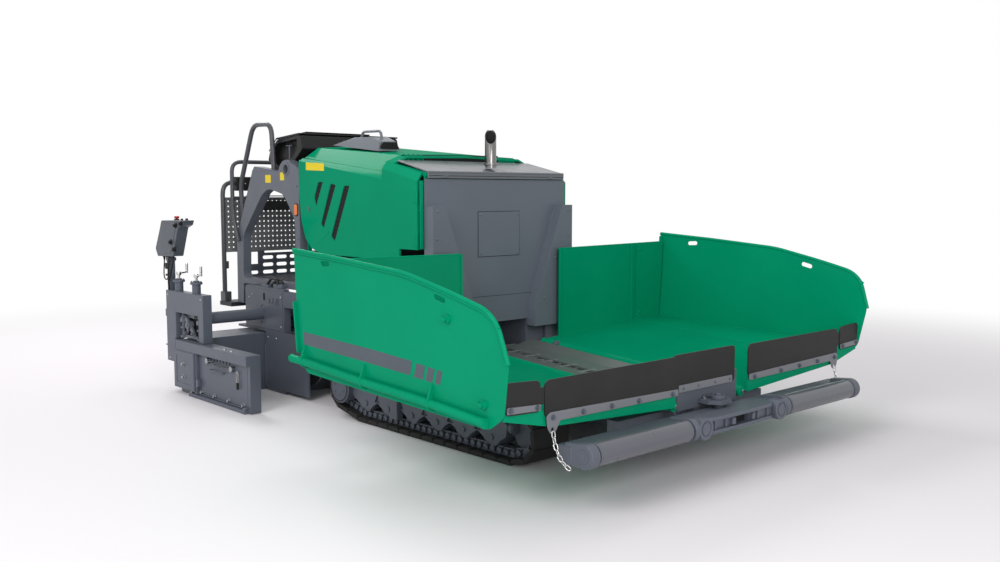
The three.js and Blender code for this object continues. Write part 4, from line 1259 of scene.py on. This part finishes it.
def trackFrame(side, sideName):
    s = trackSettings
    x = lambda a: side * a
    parts = []
    wave = [(700, 128)]
    for y in s["rollers"]:
        wave += [(y - 62, 104), (y - 40, 84), (y + 40, 84), (y + 62, 104), (y + 105, 128)]
    wave[-1] = (1960, 128)
    outline = wave + [(2010, 168), (1990, 205), (1800, 212), (760, 212), (690, 190)]
    windows = []
    for y in s["rollers"][:-1]:
        windows.append([(y + 78, 130), (y + 132, 130), (y + 105, 176)])
    parts.append(frameOf(outline, windows, "x", x(668), x(684), 2.5))
    parts.append(blockOf(x(500), x(672), 760, 1990, 118, 205, 4))
    for y in s["rollers"]:
        parts += [acrossOf(side, 560, 676, y, 104, 40, 28, 4),
                  acrossOf(side, 684, 691, y, 112, 15, 20, 2)]
    parts.append(hullOf([(x(a), y, z) for a in (560, 690)
                         for y, z in ((700, 222), (1960, 222), (700, 210), (1960, 210))], 3))
    iy, iz, ir = s["idler"]
    parts += [acrossOf(side, 540, 630, iy, iz, ir - 58, 40, 6),
              barOf((x(652), 800, 178), (x(652), 660, 172), 25, 28, 3),
              barOf((x(652), 690, 173), (x(652), 664, 172), 31, 28, 2)]
    sy, sz, sr = s["sprocket"]
    parts += [acrossOf(side, 540, 680, sy, sz, sr - 66, 40, 6),
              acrossOf(side, 500, 716, sy, sz + 8, s["hub"] - 6, 48, 4),
              acrossOf(side, 712, 722, sy, sz + 8, s["hub"], 48, 3)]
    parts.append(rounded(carved(acrossOf(side, 716, 727, sy, sz + 8, s["hub"] - 8, 48, 0),
                                [acrossOf(side, 724, 740, sy, sz + 8, s["hub"] - 24, 40, 0)]), 2, 2,
                         40))
    parts.append(acrossOf(side, 715, 726, sy, sz + 8, s["hub"] - 34, 40, 2))
    parts += fastened(greyBolt, [(x(722), sy + 45 * math.cos(a), sz + 8 + 45 * math.sin(a))
                                 for a in (0.4, 1.45, 2.5, 3.54, 4.6, 5.64)], (side, 0, 0), 11)
    fitted(rounded(carved(acrossOf(side, 722, 727.6, sy, sz + 8, s["hub"] - 10, 48, 0),
                          [acrossOf(side, 700, 740, sy, sz + 8, s["hub"] - 16, 48, 0)]), 0.5),
           f"hub_ring_{sideName}", blackAndPaintedShade, "chassis", "grey_paint")
    # the guard with the blank sticker, and the bracket post in front of it
    parts.append(blockOf(x(672), x(694), 1600, 1960, 218, 300, 4))
    parts.append(hullOf([(x(a), y, z) for a, y0, y1 in ((664, 1590, 1980), (704, 1610, 1960))
                         for y in (y0, y1)
                         for z in (212, 222)], 2))
    parts.append(blockOf(x(660), x(706), 1536, 1600, 70, 250, 5))
    parts.append(blockOf(x(664), x(682), 760, 1560, 204, 232, 4))
    for i, y in enumerate(range(830, 1520, 105)):
        parts.append(blockOf(x(682), x(690), y, y + 26, 186, 192, 2))
    fitted(parts, f"track_frame_{sideName}_finished", greyPaint, "chassis", "grey_paint",
           f"track_frame_{sideName}")
    fitted(plateOf(softOutline([(1795, 236), (1850, 236), (1850, 286), (1795, 286)], 5), "x", x(694),
                   x(694.8), 0), f"track_sticker_{sideName}", stickerYellow, "chassis", "grey_paint")


for side, sideName in sides:
    track(side, sideName)
    trackFrame(side, sideName)
print("tracks ready")


# operator's platform

sideFrameSettings = {
    "face": 560, "inside": 500,
    "hoop": [(530, 3505, 1070), (530, 3545, 1330), (530, 3352, 1738), (530, 3115, 1732),
             (530, 3090, 1430)],
    "stickers": [(3080, 3150, 1352, 1402), (2912, 2962, 1366, 1416)],
    "lamp": (2770, 1180),
}


def sideFrame(side, sideName):
    s = sideFrameSettings
    outline = softOutline([
        (2736, 672), (3475, 672), (3478, 535), (3562, 535), (3558, 980), (3330, 1420), (3290, 1456),
        (2985, 1424), (2966, 1462), (2930, 1488), (2890, 1496), (2850, 1488), (2814, 1466),
        (2736, 1436)], 12, 3)
    window = softOutline([(2790, 712), (3474, 712), (3463, 1004), (3194, 1281), (3113, 1314),
                          (2921, 1275),
                          (2790, 1115)], 46, 4)
    eye = [(2890 + 29 * math.cos(a), 1436 + 29 * math.sin(a))
           for a in (math.tau * i / 24 for i in range(24))]
    parts = [frameOf(outline, [window, eye], "x", side * s["inside"], side * s["face"], 4)]
    ring = carved(acrossOf(side, s["face"] - 1, s["face"] + 3, 2890, 1436, 42, 36, 0),
                  [acrossOf(side, s["face"] - 8, s["face"] + 8, 2890, 1436, 29, 36, 0)])
    parts.append(rounded(ring, 1.2, 2, 40))
    parts.append(hullOf([(side * a, y, z) for a in (494, 562)
                         for y, z in ((3330, 1424), (3292, 1461), (3060, 1435),
                                                                         (3060, 1428), (3288,
                                                                                        1452))], 2))
    parts += fastened(greyScrew, [(side * s["face"], y, z)
                                  for y, z in ((2762, 1330), (2762, 1000), (2762, 740))],
                      (side, 0, 0), 20)
    fitted(parts, f"side_frame_{sideName}_finished", paints["framePaint"], "chassis", "grey_paint",
           f"side_frame_{sideName}")
    if side < 0:  # only the right side has the hoop
        hoop = [(side * x, y, z) for x, y, z in s["hoop"]]
        rail = [tubeOf(hoop, 16, 72, sides=5), barOf((side * 530, 3090, 1424), (side * 530, 3090, 1434),
                                                     22, 28, 1.5)]
        fitted(rail, f"grab_hoop_{sideName}", paints["railPaint"], "chassis", "grey_paint")
    labels = [plateOf(softOutline([(y0, z0), (y1, z0), (y1, z1), (y0, z1)], 4), "x",
                      side * s["face"], side * (s["face"] + 0.8),
                      0) for y0, y1, z0, z1 in s["stickers"]]
    fitted(labels, f"side_stickers_{sideName}", stickerYellow, "chassis", "grey_paint")
    y, z = s["lamp"]
    fitted(plateOf(softOutline([(y - 16, z - 34), (y + 16, z - 34), (y + 16, z + 34), (y - 16, z + 34)],
                               12), "x", side * s["face"], side * (s["face"] + 9), 3, 3),
           f"side_lamp_{sideName}", paints["lampOrange"], "chassis", "grey_paint")
    fitted(plateOf(softOutline([(y - 21, z - 40), (y + 21, z - 40), (y + 21, z + 40), (y - 21, z + 40)],
                               12), "x", side * s["face"], side * (s["face"] + 3), 1),
           f"side_lamp_base_{sideName}", blackPlastic, "chassis", "black_plastic")


backRestSettings = {"post": 574, "top": 1498, "pad": (1300, 1396), "band": (1164, 1230)}


def backRest():
    s = backRestSettings
    x = s["post"]
    parts = [tubeOf([(x, 3505, 960), (x, 3580, 1150), (x, 3580, s["top"]), (-x, 3580, s["top"]),
                     (-x, 3580, 1150), (-x, 3505, 960)], 14, 70, sides=5)]
    for side in (1, -1):
        parts += [blockOf(side * (x - 26), side * (x + 4), 3566, 3592, z, z + 26, 3)
                  for z in (1308, 1360, 1190)]
    slots = [slotOutline(u, 1253, 120, 15) for u in (-380, -228, -76, 76, 228, 380)]
    parts.append(frameOf(softOutline([(-470, 1238), (470, 1238), (470, 1268), (-470, 1268)], 8), slots,
                         "y",
                         3588, 3593, 1))
    parts += [blockOf(side * 462, side * (x - 4), 3586, 3594, 1240, 1262, 2) for side in (1, -1)]
    fitted(parts, "back_rest_finished", paints["railPaint"], "chassis", "grey_paint", "back_rest")
    z0, z1 = s["pad"]
    pad = plateOf(softOutline([(-x + 6, z0), (x - 6, z0), (x - 6, z1), (-x + 6, z1)], 18), "y", 3568,
                  3588, 7, 4)
    z0, z1 = s["band"]
    band = plateOf(softOutline([(-468, z0), (468, z0), (468, z1), (-468, z1)], 12), "y", 3584, 3594, 3,
                   3)
    fitted([pad, band], "back_rest_pad", flapRubber, "chassis", "rubber")
    screws = fastened(steelScrew, [(u, 3568, 1348) for u in (-480, -160, 160, 480)], (0, -1, 0), 14)
    fitted(screws, "back_rest_screws", screwSteel, "chassis", "steel")


guardSettings = {
    "x": 590, "y": 3690, "low": 550, "top": 1361, "hole": 6.3, "cell": 34.5,
    "panel": (-568, 568, 890, 1246),
}


def holedPanel(x0, x1, z0, z1, y, thickness, cell, hole):
    # one pierced cell, repeated both ways and thickened
    across, up = round((x1 - x0) / cell), round((z1 - z0) / cell)
    width, height = (x1 - x0) / across, (z1 - z0) / up
    bpy.ops.mesh.primitive_grid_add(x_subdivisions=4, y_subdivisions=4, size=1, location=(0, 0, 0))
    piece = added()
    withoutVertices(piece, lambda vertex: vertex.co.length < 0.01)
    for vertex in piece.data.vertices:
        u, v = vertex.co.x, vertex.co.y
        if max(abs(u), abs(v)) < 0.3:
            reach = math.hypot(u, v)
            u, v = u / reach * hole / width, v / reach * hole / height
        vertex.co = ((u + 0.5) * width / 1000, 0, (v + 0.5) * height / 1000)
    for count, offset in ((across, (width / 1000, 0, 0)), (up, (0, 0, height / 1000))):
        modified(piece, "ARRAY", count=count, use_relative_offset=False, use_constant_offset=True,
                 constant_offset_displace=offset, use_merge_vertices=True)
    modified(piece, "SOLIDIFY", thickness=thickness / 1000, offset=0)
    piece.data.transform(Matrix.Translation(mm(x0, y, z0)))
    return smoothed(tidyNormals(piece), 30)


def rearGuard():
    s = guardSettings
    x, y = s["x"], s["y"]
    posts = [tubeOf([(x, y, s["low"]), (x, y, s["top"]), (-x, y, s["top"]), (-x, y, s["low"])], 16, 85,
                    sides=6)]
    for side in (1, -1):
        posts += [blockOf(side * (x - 34), side * 606, 3656, 3728, 536, 602, 5),
                  blockOf(side * (x - 32), side * (x - 10), 3682, 3698, 760, 812, 3)]
    fitted(posts, "rear_guard_posts", paints["railPaint"], "screed", "grey_paint", "rear_guard")
    x0, x1, z0, z1 = s["panel"]
    parts = [holedPanel(x0, x1, z0, z1, y, 4, s["cell"], s["hole"])]
    parts.append(blockOf(x0 - 8, x1 + 8, y - 4, y + 4, z1 - 2, z1 + 9, 1.5))
    parts.append(blockOf(x0 - 8, x1 + 8, y - 5, y + 5, z0 - 16, z0 + 1, 1.5))
    parts += [blockOf(side * 566, side * 578, y - 4, y + 4, z0 - 10, z1 + 6, 1.5) for side in (1, -1)]
    fitted(parts, "rear_guard_mesh", paints["meshPaint"], "screed", "grey_paint")
    windows = [[(-412, 782), (-330, 782), (-330, 868), (-412, 868)], slotOutline(-371, 722, 84, 24)]
    windows += [slotOutline(u, v, 86, 25) for u in (-250, -140, -30, 80, 190, 300, 400)
                for v in (722, 774, 826)]
    windows.append(slotOutline(70, 866, 700, 14))
    lower = frameOf(softOutline([(-462, 602), (462, 602), (462, 876), (-462, 876)], 10), windows, "y",
                    y - 3, y + 3, 1)
    legs = [blockOf(side * 440, side * 462, y - 8, y + 8, 536, 640, 3) for side in (1, -1)]
    fitted([lower, *legs], "rear_guard_lower", screedPaint, "screed", "dark_grey_paint")


deckSettings = {"x": 498, "y": (3000, 3473), "z": 712, "pitch": 52}


def treadBars(name, body, x0, x1, y0, y1, z, pitch):
    # short raised bars, turned one way and then the other, as on chequer plate
    bar = blockOf(-17, 17, -flapPlane * 1000 - 3, -flapPlane * 1000 + 3, 0, 1.8, 1.2, 1)
    bars = []
    rows, columns = int((y1 - y0) / pitch), int((x1 - x0) / pitch)
    for row in range(rows):
        for column in range(columns):
            turn = Matrix.Rotation(math.radians(45 if (row + column) % 2 else -45), 3, "Z")
            bars.append(copiedTo(bar, mm(x0 + (column + 0.5) * (x1 - x0) / columns,
                                         y0 + (row + 0.5) * (y1 - y0) / rows, z), turn))
    dropped(bar)
    return fitted(bars, name, deckPaint, body, "dark_grey_paint")


def platform():
    s = deckSettings
    treadBars("platform_tread", "chassis", -s["x"] + 16, s["x"] - 16, s["y"][0], s["y"][1] - 12, s["z"],
              s["pitch"])
    treadBars("walkway_tread", "screed", -580, 580, 3580, 3650, 535, s["pitch"])


consoleSettings = {"left": 260, "right": -500}


def console():
    s = consoleSettings
    x0, x1 = s["right"], s["left"]
    shell = plateOf(softOutline([(3215, 1500), (3190, 1560), (3100, 1630), (2815, 1652), (2790, 1560),
                                 (2960, 1430), (3060, 1410)], 14, 3), "x", x0, x1, 6, 3)
    hollow = [(3178, 1530), (3100, 1606), (2850, 1628), (2850, 1560), (2980, 1462), (3060, 1440)]
    recesses = [plateOf(hollow, "x", start, end, 0)
                for start, end in ((x0 - 20, x0 + 46), (x1 + 20, x1 - 46))]
    shell = rounded(carved(shell, recesses), 2, 2)
    foot = blockOf(-258, 38, 2822, 2978, 713, 1540, 8, 3)
    lid = plateOf(softOutline([(3106, 1632), (2816, 1655), (2816, 1664), (3104, 1642)], 4), "x", x0 - 6,
                  x1 + 6, 3, 3)
    hood = plateOf(softOutline([(3066, 1636), (2860, 1654), (2848, 1676), (3050, 1660)], 6), "x",
                   x0 + 70, x1 - 200, 4, 3)
    fitted([shell, foot, lid, hood], "operator_console_finished", blackPlastic, "chassis",
           "black_plastic", "operator_console")
    trim = [tubeOf([(x0 - 2, 3196, 1560), (x0 - 2, 3104, 1634), (x0 - 2, 2818, 1657)], 3.5, 10,
                   sides=3),
            tubeOf([(x1 + 2, 3196, 1560), (x1 + 2, 3104, 1634), (x1 + 2, 2818, 1657)], 3.5, 10,
                   sides=3),
            blockOf(x0 + 14, x0 + 26, 2880, 2960, 1500, 1506, 1.5),
            barOf((x0 + 30, 2990, 1480), (x0 + 30, 2990, 1590), 6, 12, 1),
            barOf((x0 + 30, 2960, 1590), (x0 + 30, 3030, 1590), 5, 12, 1)]
    fitted(trim, "console_fittings", greyPaint, "chassis", "grey_paint")
    # controls on the sloping desk
    desk = []
    for i in range(6):
        u = -420 + i * 110
        desk += [barOf((u, 3148, 1594), (u, 3163, 1606), 10, 20, 1.5),
                 barOf((u, 3196, 1540), (u, 3209, 1546), 7, 16, 1)]
    for u in (-300, 120):
        desk += [barOf((u, 3120, 1600), (u, 3150, 1640), 5, 12, 1),
                 barOf((u, 3146, 1634), (u, 3162, 1656), 13, 20, 4)]
    fitted(desk, "console_controls", blackAndPaintedShade, "chassis", "black_plastic")
    fitted(hullOf([(u, y, z) for u in (-180, 40) for y, z in ((3118, 1618), (3182, 1568), (3121, 1623),
                                                              (3186, 1573))], 2), "console_screen",
           paints["screenGlass"], "chassis", "black_plastic")


for side, sideName in sides:
    sideFrame(side, sideName)
backRest()
rearGuard()
platform()
console()
print("operator's platform ready")


# screed and its extensions

def screed():
    fitted(refined("screed_body", 3), "screed_body_finished", screedPaint, "screed", "dark_grey_paint",
           "screed_body")
    parts, bolts, dark = [], [], []
    for side in (1, -1):
        x = lambda a: side * a
        parts += [blockOf(x(571), x(613), 2856, 3346, 658, 674, 4),  # lid of the side box
                  blockOf(x(560), x(600), 2900, 3010, 672, 700, 5),
                  blockOf(x(572), x(606), 3060, 3150, 672, 690, 4),
                  blockOf(x(613), x(619), 2868, 2904, 404, 652, 2),
                  blockOf(x(613), x(618), 2853, 3340, 404, 416, 1.5),
                  blockOf(x(613), x(620), 2853, 3086, 20, 32, 2),
                  plateOf([(3086, 300), (3098, 300), (3098, 20), (3086, 20)], "x", x(613), x(622), 2)]
        parts.append(acrossOf(side, 613, 618, 3130, 498, 62, 40, 2))
        parts += fastened(greyBolt, [(x(617.5), 3130 + 52 * math.cos(a), 498 + 52 * math.sin(a))
                                     for a in (0.5, 1.55, 2.6, 3.64, 4.7, 5.74)], (side, 0, 0), 12)
        bolts += fastened(steelScrew, [(x(615), 3060, 350), (x(615), 2956, 348), (x(618), 2886, 620),
                                       (x(618), 2886, 430)], (side, 0, 0), 17)
        bolts += fastened(steelScrew, [(x(615), 3260, 617), (x(615), 3299, 595)], (side, 0, 0), 10)
        # painted shade: a near-black slot shape on the side box stands for an opening
        dark.append(plateOf(slotOutline(3100, 612, 52, 22, 90), "x", x(613), x(616), 0))
        switch = [plateOf(softOutline([(2917, 569), (3052, 572), (3052, 616), (2917, 613)], 5), "x",
                          x(614), x(619), 1.5)]
        switch += [blockOf(x(618), x(628), y, y + 30, 580, 608, 3) for y in (2926, 2970, 3014)]
        parts += switch
        hoses = [tubeOf([(x(594), 2954, 694), (x(594), 2962, 730), (x(592), 3040, 736),
                         (x(590), 3102, 686)], 9, 30, sides=4),
                 tubeOf([(x(578), 2924, 694), (x(579), 2926, 724), (x(579), 2985, 728),
                         (x(579), 3060, 686)], 7, 30, sides=4)]
        name = "left" if side > 0 else "right"
        fitted(hoses, f"screed_hoses_{name}", cableRubber, "screed", "rubber")
    fitted(parts, "screed_fittings", screedPaint, "screed", "dark_grey_paint")
    fitted(bolts, "screed_bolts", screwSteel, "screed", "steel")
    fitted(dark, "screed_slots", blackAndPaintedShade, "screed", "dark_grey_paint")
    # burner and wiring boxes between the side boxes
    inside = [blockOf(-430, 430, 3060, 3084, 400, 440, 4), blockOf(-60, 60, 2880, 3000, 400, 520, 8, 3)]
    inside += [barOf((u, 2900, 440), (u, 3040, 440), 22, 28, 3) for u in (-330, -210, 210, 330)]
    fitted(inside, "screed_burners", screedPaint, "screed", "dark_grey_paint")
    pipes = [tubeOf([(-400, 2890, 470), (-200, 2890, 500), (-60, 2900, 480)], 8, 40, sides=4),
             tubeOf([(400, 2890, 470), (200, 2890, 500), (60, 2900, 480)], 8, 40, sides=4)]
    fitted(pipes, "screed_gas_lines", cableRubber, "screed", "rubber")


extensionSettings = {"x": 1025, "face": 1058, "window": (3134, 3460, 340, 514)}


def crank(side, y, armX, armY):
    # a screw housing with a flange, then the plated crank on top
    x = side * extensionSettings["x"]
    housing = [barOf((x, y, 645), (x, y, 712), 27, 36, 2), barOf((x, y, 708), (x, y, 724), 38, 36, 3),
               barOf((x, y, 722), (x, y, 732), 20, 28, 2)]
    housing += fastened(greyBolt, [(x + 30 * math.cos(a), y + 30 * math.sin(a), 724)
                                   for a in (0.8, 2.4, 3.9, 5.5)],
                        (0, 0, 1), 9)
    turned = [barOf((x, y, 730), (x, y, 764), 9, 20, 1.5), barOf((x, y, 752), (x, y, 776), 16, 24, 4),
              barOf((x, y, 764), (x + armX, y + armY, 771), 6.5, 16, 2),
              barOf((x + armX, y + armY, 764), (x + armX, y + armY, 784), 8, 16, 2),
              barOf((x + armX, y + armY, 784), (x + armX, y + armY, 828), 8.5, 20, 4)]
    return housing, turned


def extensionFrame(side, sideName):
    s = extensionSettings
    body = f"extension_{sideName}"
    x = lambda a: side * a
    y0, y1, z0, z1 = s["window"]
    parts = [plateOf([(3070, 345), (y0, 345), (y0, z1), (y1, z1), (y1, 345), (3476, 345), (3476, 183),
                      (3600, 183),
                      (3600, 650), (3070, 650)], "x", x(996), x(1058), 3)]
    parts.append(blockOf(x(1005), x(1045), 3560, 3597, 646, 866, 3))
    parts.append(acrossOf(side, 402, 999, 3130, 498, 38, 40, 1))
    shine = []
    for y, armX, armY in ((3468, -side * 62, 14), (3218, 0, -68)):
        housing, turned = crank(side, y, armX, armY)
        parts += housing
        shine += turned
    parts += [blockOf(x(1010), x(1042), 3598, 3652, 470, 520, 4),
              blockOf(x(998), x(1051), 3478, 3639, 279, 287, 2)]
    fitted(parts, f"extension_frame_{sideName}_finished", screedPaint, body, "dark_grey_paint",
           f"extension_frame_{sideName}")
    fitted(shine, f"height_cranks_{sideName}", brightSteel, body, "steel")
    # screws, nuts and links seen through the window
    gear = [acrossOf(side, 1010, 1050, 3318, 440, 26, 28, 3),
            acrossOf(side, 1048, 1056, 3318, 440, 13, 20, 2),
            blockOf(x(1002), x(1020), 3150, 3440, 484, 506, 3),
            blockOf(x(1004), x(1030), 3210, 3390, 352, 372, 3),
            hullOf([(x(a), y, z) for a in (1018, 1034) for y, z in ((3300, 448), (3336, 448),
                                                                    (3268, 366), (3238, 366),
                                                                    (3330, 432))], 3),
            hullOf([(x(a), y, z) for a in (1018, 1034) for y, z in ((3312, 458), (3340, 438),
                                                                    (3400, 486), (3386, 504))], 3),
            hullOf([(x(a), y, z) for a in (1014, 1026) for y, z in ((3330, 430), (3350, 444),
                                                                    (3392, 372), (3372, 362))], 3)]
    for y in (3180, 3414):
        gear += [barOf((x(1024), y, z0 + 6), (x(1024), y, z1 + 3), 11, 20, 1),
                 barOf((x(1024), y, 452), (x(1024), y, 480), 24, 6, 2),
                 barOf((x(1024), y, 410), (x(1024), y, 424), 21, 28, 2),
                 barOf((x(1024), y, 350), (x(1024), y, 366), 23, 6, 2)]
        gear += [barOf((x(1024), y, 372 + i * 6), (x(1024), y, 375 + i * 6), 13, 16, 0.6)
                 for i in range(6)]
    gear += fastened(greyBolt, [(x(1036), 3262, 388), (x(1036), 3388, 488), (x(1030), 3378, 380),
                                (x(1022), 3250, 496)],
                     (side, 0, 0), 18)
    fitted(gear, f"height_screws_{sideName}", paints["gearPaint"], body, "steel")
    # painted shade: a near-black plate behind the window stands for the dark inside of the extension
    fitted(blockOf(x(998), x(1003), 3200, y1 + 2, 346, z1 + 2, 1), f"height_backplate_{sideName}",
           blackAndPaintedShade, body, "dark_grey_paint")
    fitted(fastened(steelScrew, [(x(1058), y, z) for y, z in ((3100, 622), (3570, 622), (3560, 205))],
                    (side, 0, 0), 14), f"extension_screws_{sideName}", screwSteel, body, "steel")


def endPlate(side, sideName):
    body = f"extension_{sideName}"
    x = lambda a: side * a
    fitted(refined(f"end_plate_{sideName}", 3), f"end_plate_{sideName}_finished", screedPaint, body,
           "dark_grey_paint", f"end_plate_{sideName}")
    fitted(blockOf(side * 466, side * 480, 2738, 2900, 642, 701, 2), f"platform_skirt_{sideName}",
           paints["framePaint"], "chassis", "grey_paint")
    parts = [tubeOf([(x(1058), 2963, 200), (x(1080), 2963, 200), (x(1080), 2793, 199),
                     (x(1058), 2793, 199)], 5, 14),
             frameOf([(3156, 40), (3434, 40), (3434, 276), (3156, 276)],
                     [[(3196, 70), (3400, 70), (3400, 246), (3196, 246)]],
                     "x", x(1085), x(1090), 1.5),
             blockOf(x(1060), x(1072), 2506, 3144, 24, 31, 2),
             blockOf(x(1060), x(1068), 2500, 2512, 24, 284, 2),
             blockOf(x(1060), x(1080), 3134, 3150, 24, 284, 3),
             blockOf(x(1060), x(1086), 3108, 3140, 70, 120, 4),
             hullOf([(x(a), y, z) for a in (998, 1089) for y, z in ((2492, 44), (2492, 30), (2500, 20),
                                                                    (2530, 20), (2530, 30))], 2)]
    parts += [blockOf(x(1058), x(1066), 3006 - i * 40, 3016 - i * 40, 258, 282, 1.5) for i in range(8)]
    fitted(parts, f"end_plate_fittings_{sideName}", screedPaint, body, "dark_grey_paint")
    zinc = [acrossOf(side, 1060, 1084, 2990, 254, 19, 28, 4),
            acrossOf(side, 1060, 1084, 2679, 242, 19, 28, 4)]
    zinc += fastened(steelBolt, [(x(1061), y, 40) for y in (3096, 2925, 2742, 2560)], (side, 0, 0), 22)
    zinc += fastened(steelBolt, [(x(1087), 3300, 196), (x(1087), 3300, 112)], (side, 0, 0), 22)
    zinc += fastened(steelScrew, [(x(1060), 2790, 344), (x(1060), 2705, 344)], (0, 0, 1), 20)
    zinc += fastened(steelBolt, [(x(1064), 3180, 22), (x(1080), 3210, 22)], (0, 0, 1), 16)
    link = slotOutline(2613, 200, 64, 22, 90, 6)
    zinc.append(lineOf([mm(x(1072), y, z) for y, z in link], 3, True, 2))
    zinc.append(barOf((x(1072), 2613, 240), (x(1072), 2613, 226), 5, 12, 1))
    fitted(zinc, f"end_plate_bolts_{sideName}", screwSteel, body, "steel")
    fitted(barOf((x(1072), 2613, 170), (x(1072), 2613, 128), 7.5, 20, 3), f"end_plate_grip_{sideName}",
           blackPlastic, body, "black_plastic")
    sag = [(x(1078), 2972, 262), (x(1078), 2900, 246), (x(1078), 2800, 240), (x(1078), 2696, 250)]
    dressed(chainAlong(sag, f"end_plate_chain_{sideName}", body), chainSteel)


def controlBox(side, sideName):
    body = f"extension_{sideName}"
    x = lambda a: side * a
    shell = plateOf(softOutline([(3628, 1106), (3300, 1112), (3318, 1082), (3385, 1062), (3470, 876),
                                 (3700, 868),
                                 (3734, 918)], 8, 3), "x", x(989), x(1061), 5, 3)
    step = plateOf(softOutline([(3600, 1092), (3408, 1096), (3420, 1060), (3500, 892), (3684, 884),
                                (3706, 920)], 12),
                   "x", x(1058), x(1063.5), 2)
    clamp = [blockOf(x(1006), x(1044), 3560, 3597, 866.5, 890, 2),
             blockOf(x(1000), x(1050), 3552, 3606, 842, 864, 3)]
    fitted([shell, step, *clamp], f"control_box_{sideName}_finished", paints["boxPaint"], body,
           "dark_grey_paint", f"control_box_{sideName}")
    black = [hullOf([(x(a), y, z) for a in (992, 1058)
                     for y, z in ((3630, 1102), (3640, 1102), (3738, 920), (3730, 914),
                                                                   (3734, 905))], 2)]
    for y, z in ((3413, 1079), (3330, 1092), (3485, 968), (3436, 922)):
        black += [acrossOf(side, 1060, 1070, y, z, 17, 24, 2),
                  acrossOf(side, 1069, 1082, y, z, 11, 20, 3)]
    black.append(barOf((x(1025), 3475, 1110), (x(1025), 3475, 1118), 17, 28, 1.5))
    black += [barOf((x(1025), 3330, 1104), (x(1025), 3330, 1124), 9, 20, 2),
              barOf((x(1025), 3400, 1106), (x(1025), 3400, 1122), 8, 20, 2)]
    black += [tubeOf([(x(1048), 3560, 872), (x(1056), 3556, 800), (x(1052), 3566, 690),
                      (x(1050), 3566, 652)], 6, 40, sides=4),
              tubeOf([(x(1046), 3500, 878), (x(1054), 3484, 840), (x(1052), 3520, 780),
                      (x(1052), 3556, 720)], 6, 50, sides=4),
              barOf((x(1050), 3500, 876), (x(1050), 3500, 858), 10, 16, 2),
              blockOf(x(1044), x(1058), 3548, 3600, 742, 756, 3),
              blockOf(x(1020), x(1050), 3596, 3626, 786, 826, 4)]
    fitted(black, f"control_box_fittings_{sideName}", blackPlastic, body, "black_plastic")
    red = [barOf((x(1025), 3475, 1116), (x(1025), 3475, 1124), 9, 20, 1),
           barOf((x(1025), 3475, 1122), (x(1025), 3475, 1136), 16, 28, 3.5)]
    fitted(red, f"stop_button_{sideName}", paints["knobRed"], body, "black_plastic")


augerSettings = {
    "start": 26, "length": 568, "y": 2705, "z": 190,
    "radius": 121, "shaft": 30, "turns": 3, "blade": 8,
}


def auger(side, sideName):
    # one blade wound round the shaft: an edge, screwed along X and thickened
    s = augerSettings
    bpy.ops.mesh.primitive_plane_add(size=1, location=(0, 0, 0))
    blade = added()
    withoutVertices(blade, lambda vertex: vertex.index > 1)
    for vertex, radius in zip(blade.data.vertices, (s["shaft"] - 4, s["radius"])):
        vertex.co = (0, radius / 1000, 0)
    modified(blade, "SCREW", axis="X", angle=math.tau, iterations=s["turns"], steps=32, render_steps=32,
             screw_offset=side * (s["length"] - 22) / s["turns"] / 1000)
    modified(blade, "SOLIDIFY", thickness=s["blade"] / 1000, offset=0)
    blade.data.transform(Matrix.Translation(mm(side * (s["start"] + 10), s["y"], s["z"])))
    tidyNormals(blade)
    smoothed(blade, 40)
    a, b = s["start"], s["start"] + s["length"]
    shaft = [acrossOf(side, a, b, s["y"], s["z"], s["shaft"], 36, 2),
             acrossOf(side, b - 14, b, s["y"], s["z"], s["shaft"] + 14, 36, 2)]
    fitted([blade, *shaft], f"auger_{sideName}_finished", wornSteel, f"auger_{sideName}",
           "dark_grey_paint", f"auger_{sideName}")


screed()
for side, sideName in sides:
    extensionFrame(side, sideName)
    endPlate(side, sideName)
    controlBox(side, sideName)
    auger(side, sideName)
print("screed ready")


# nodes kept as the CAD has them, softened

softened = {  # node: body, slot, material, edge in millimetres
    "chassis_frame": ("chassis", "grey_paint", greyPaint, 2.5),
    "conveyor": ("chassis", "dark_grey_paint", wornSteel, 2.0),
    "engine_block": ("chassis", "dark_grey_paint", deckPaint, 6.0),
    "platform_deck": ("chassis", "dark_grey_paint", deckPaint, 2.0),
    "walkway": ("screed", "dark_grey_paint", deckPaint, 2.0),
}
for side, sideName in sides:
    softened[f"tow_arm_{sideName}"] = ("screed", "grey_paint", screedPaint, 3.0)
for side, sideName in sides:
    softened[f"extension_body_{sideName}"] = (f"extension_{sideName}", "dark_grey_paint", screedPaint,
                                              4.0)
for node, (body, slotName, material, edge) in softened.items():
    fitted(refined(node, edge), f"{node}_finished", material, body, slotName, node)
print("softened nodes ready")

for model in (greyBolt, steelBolt, greyScrew, steelScrew):
    dropped(model)
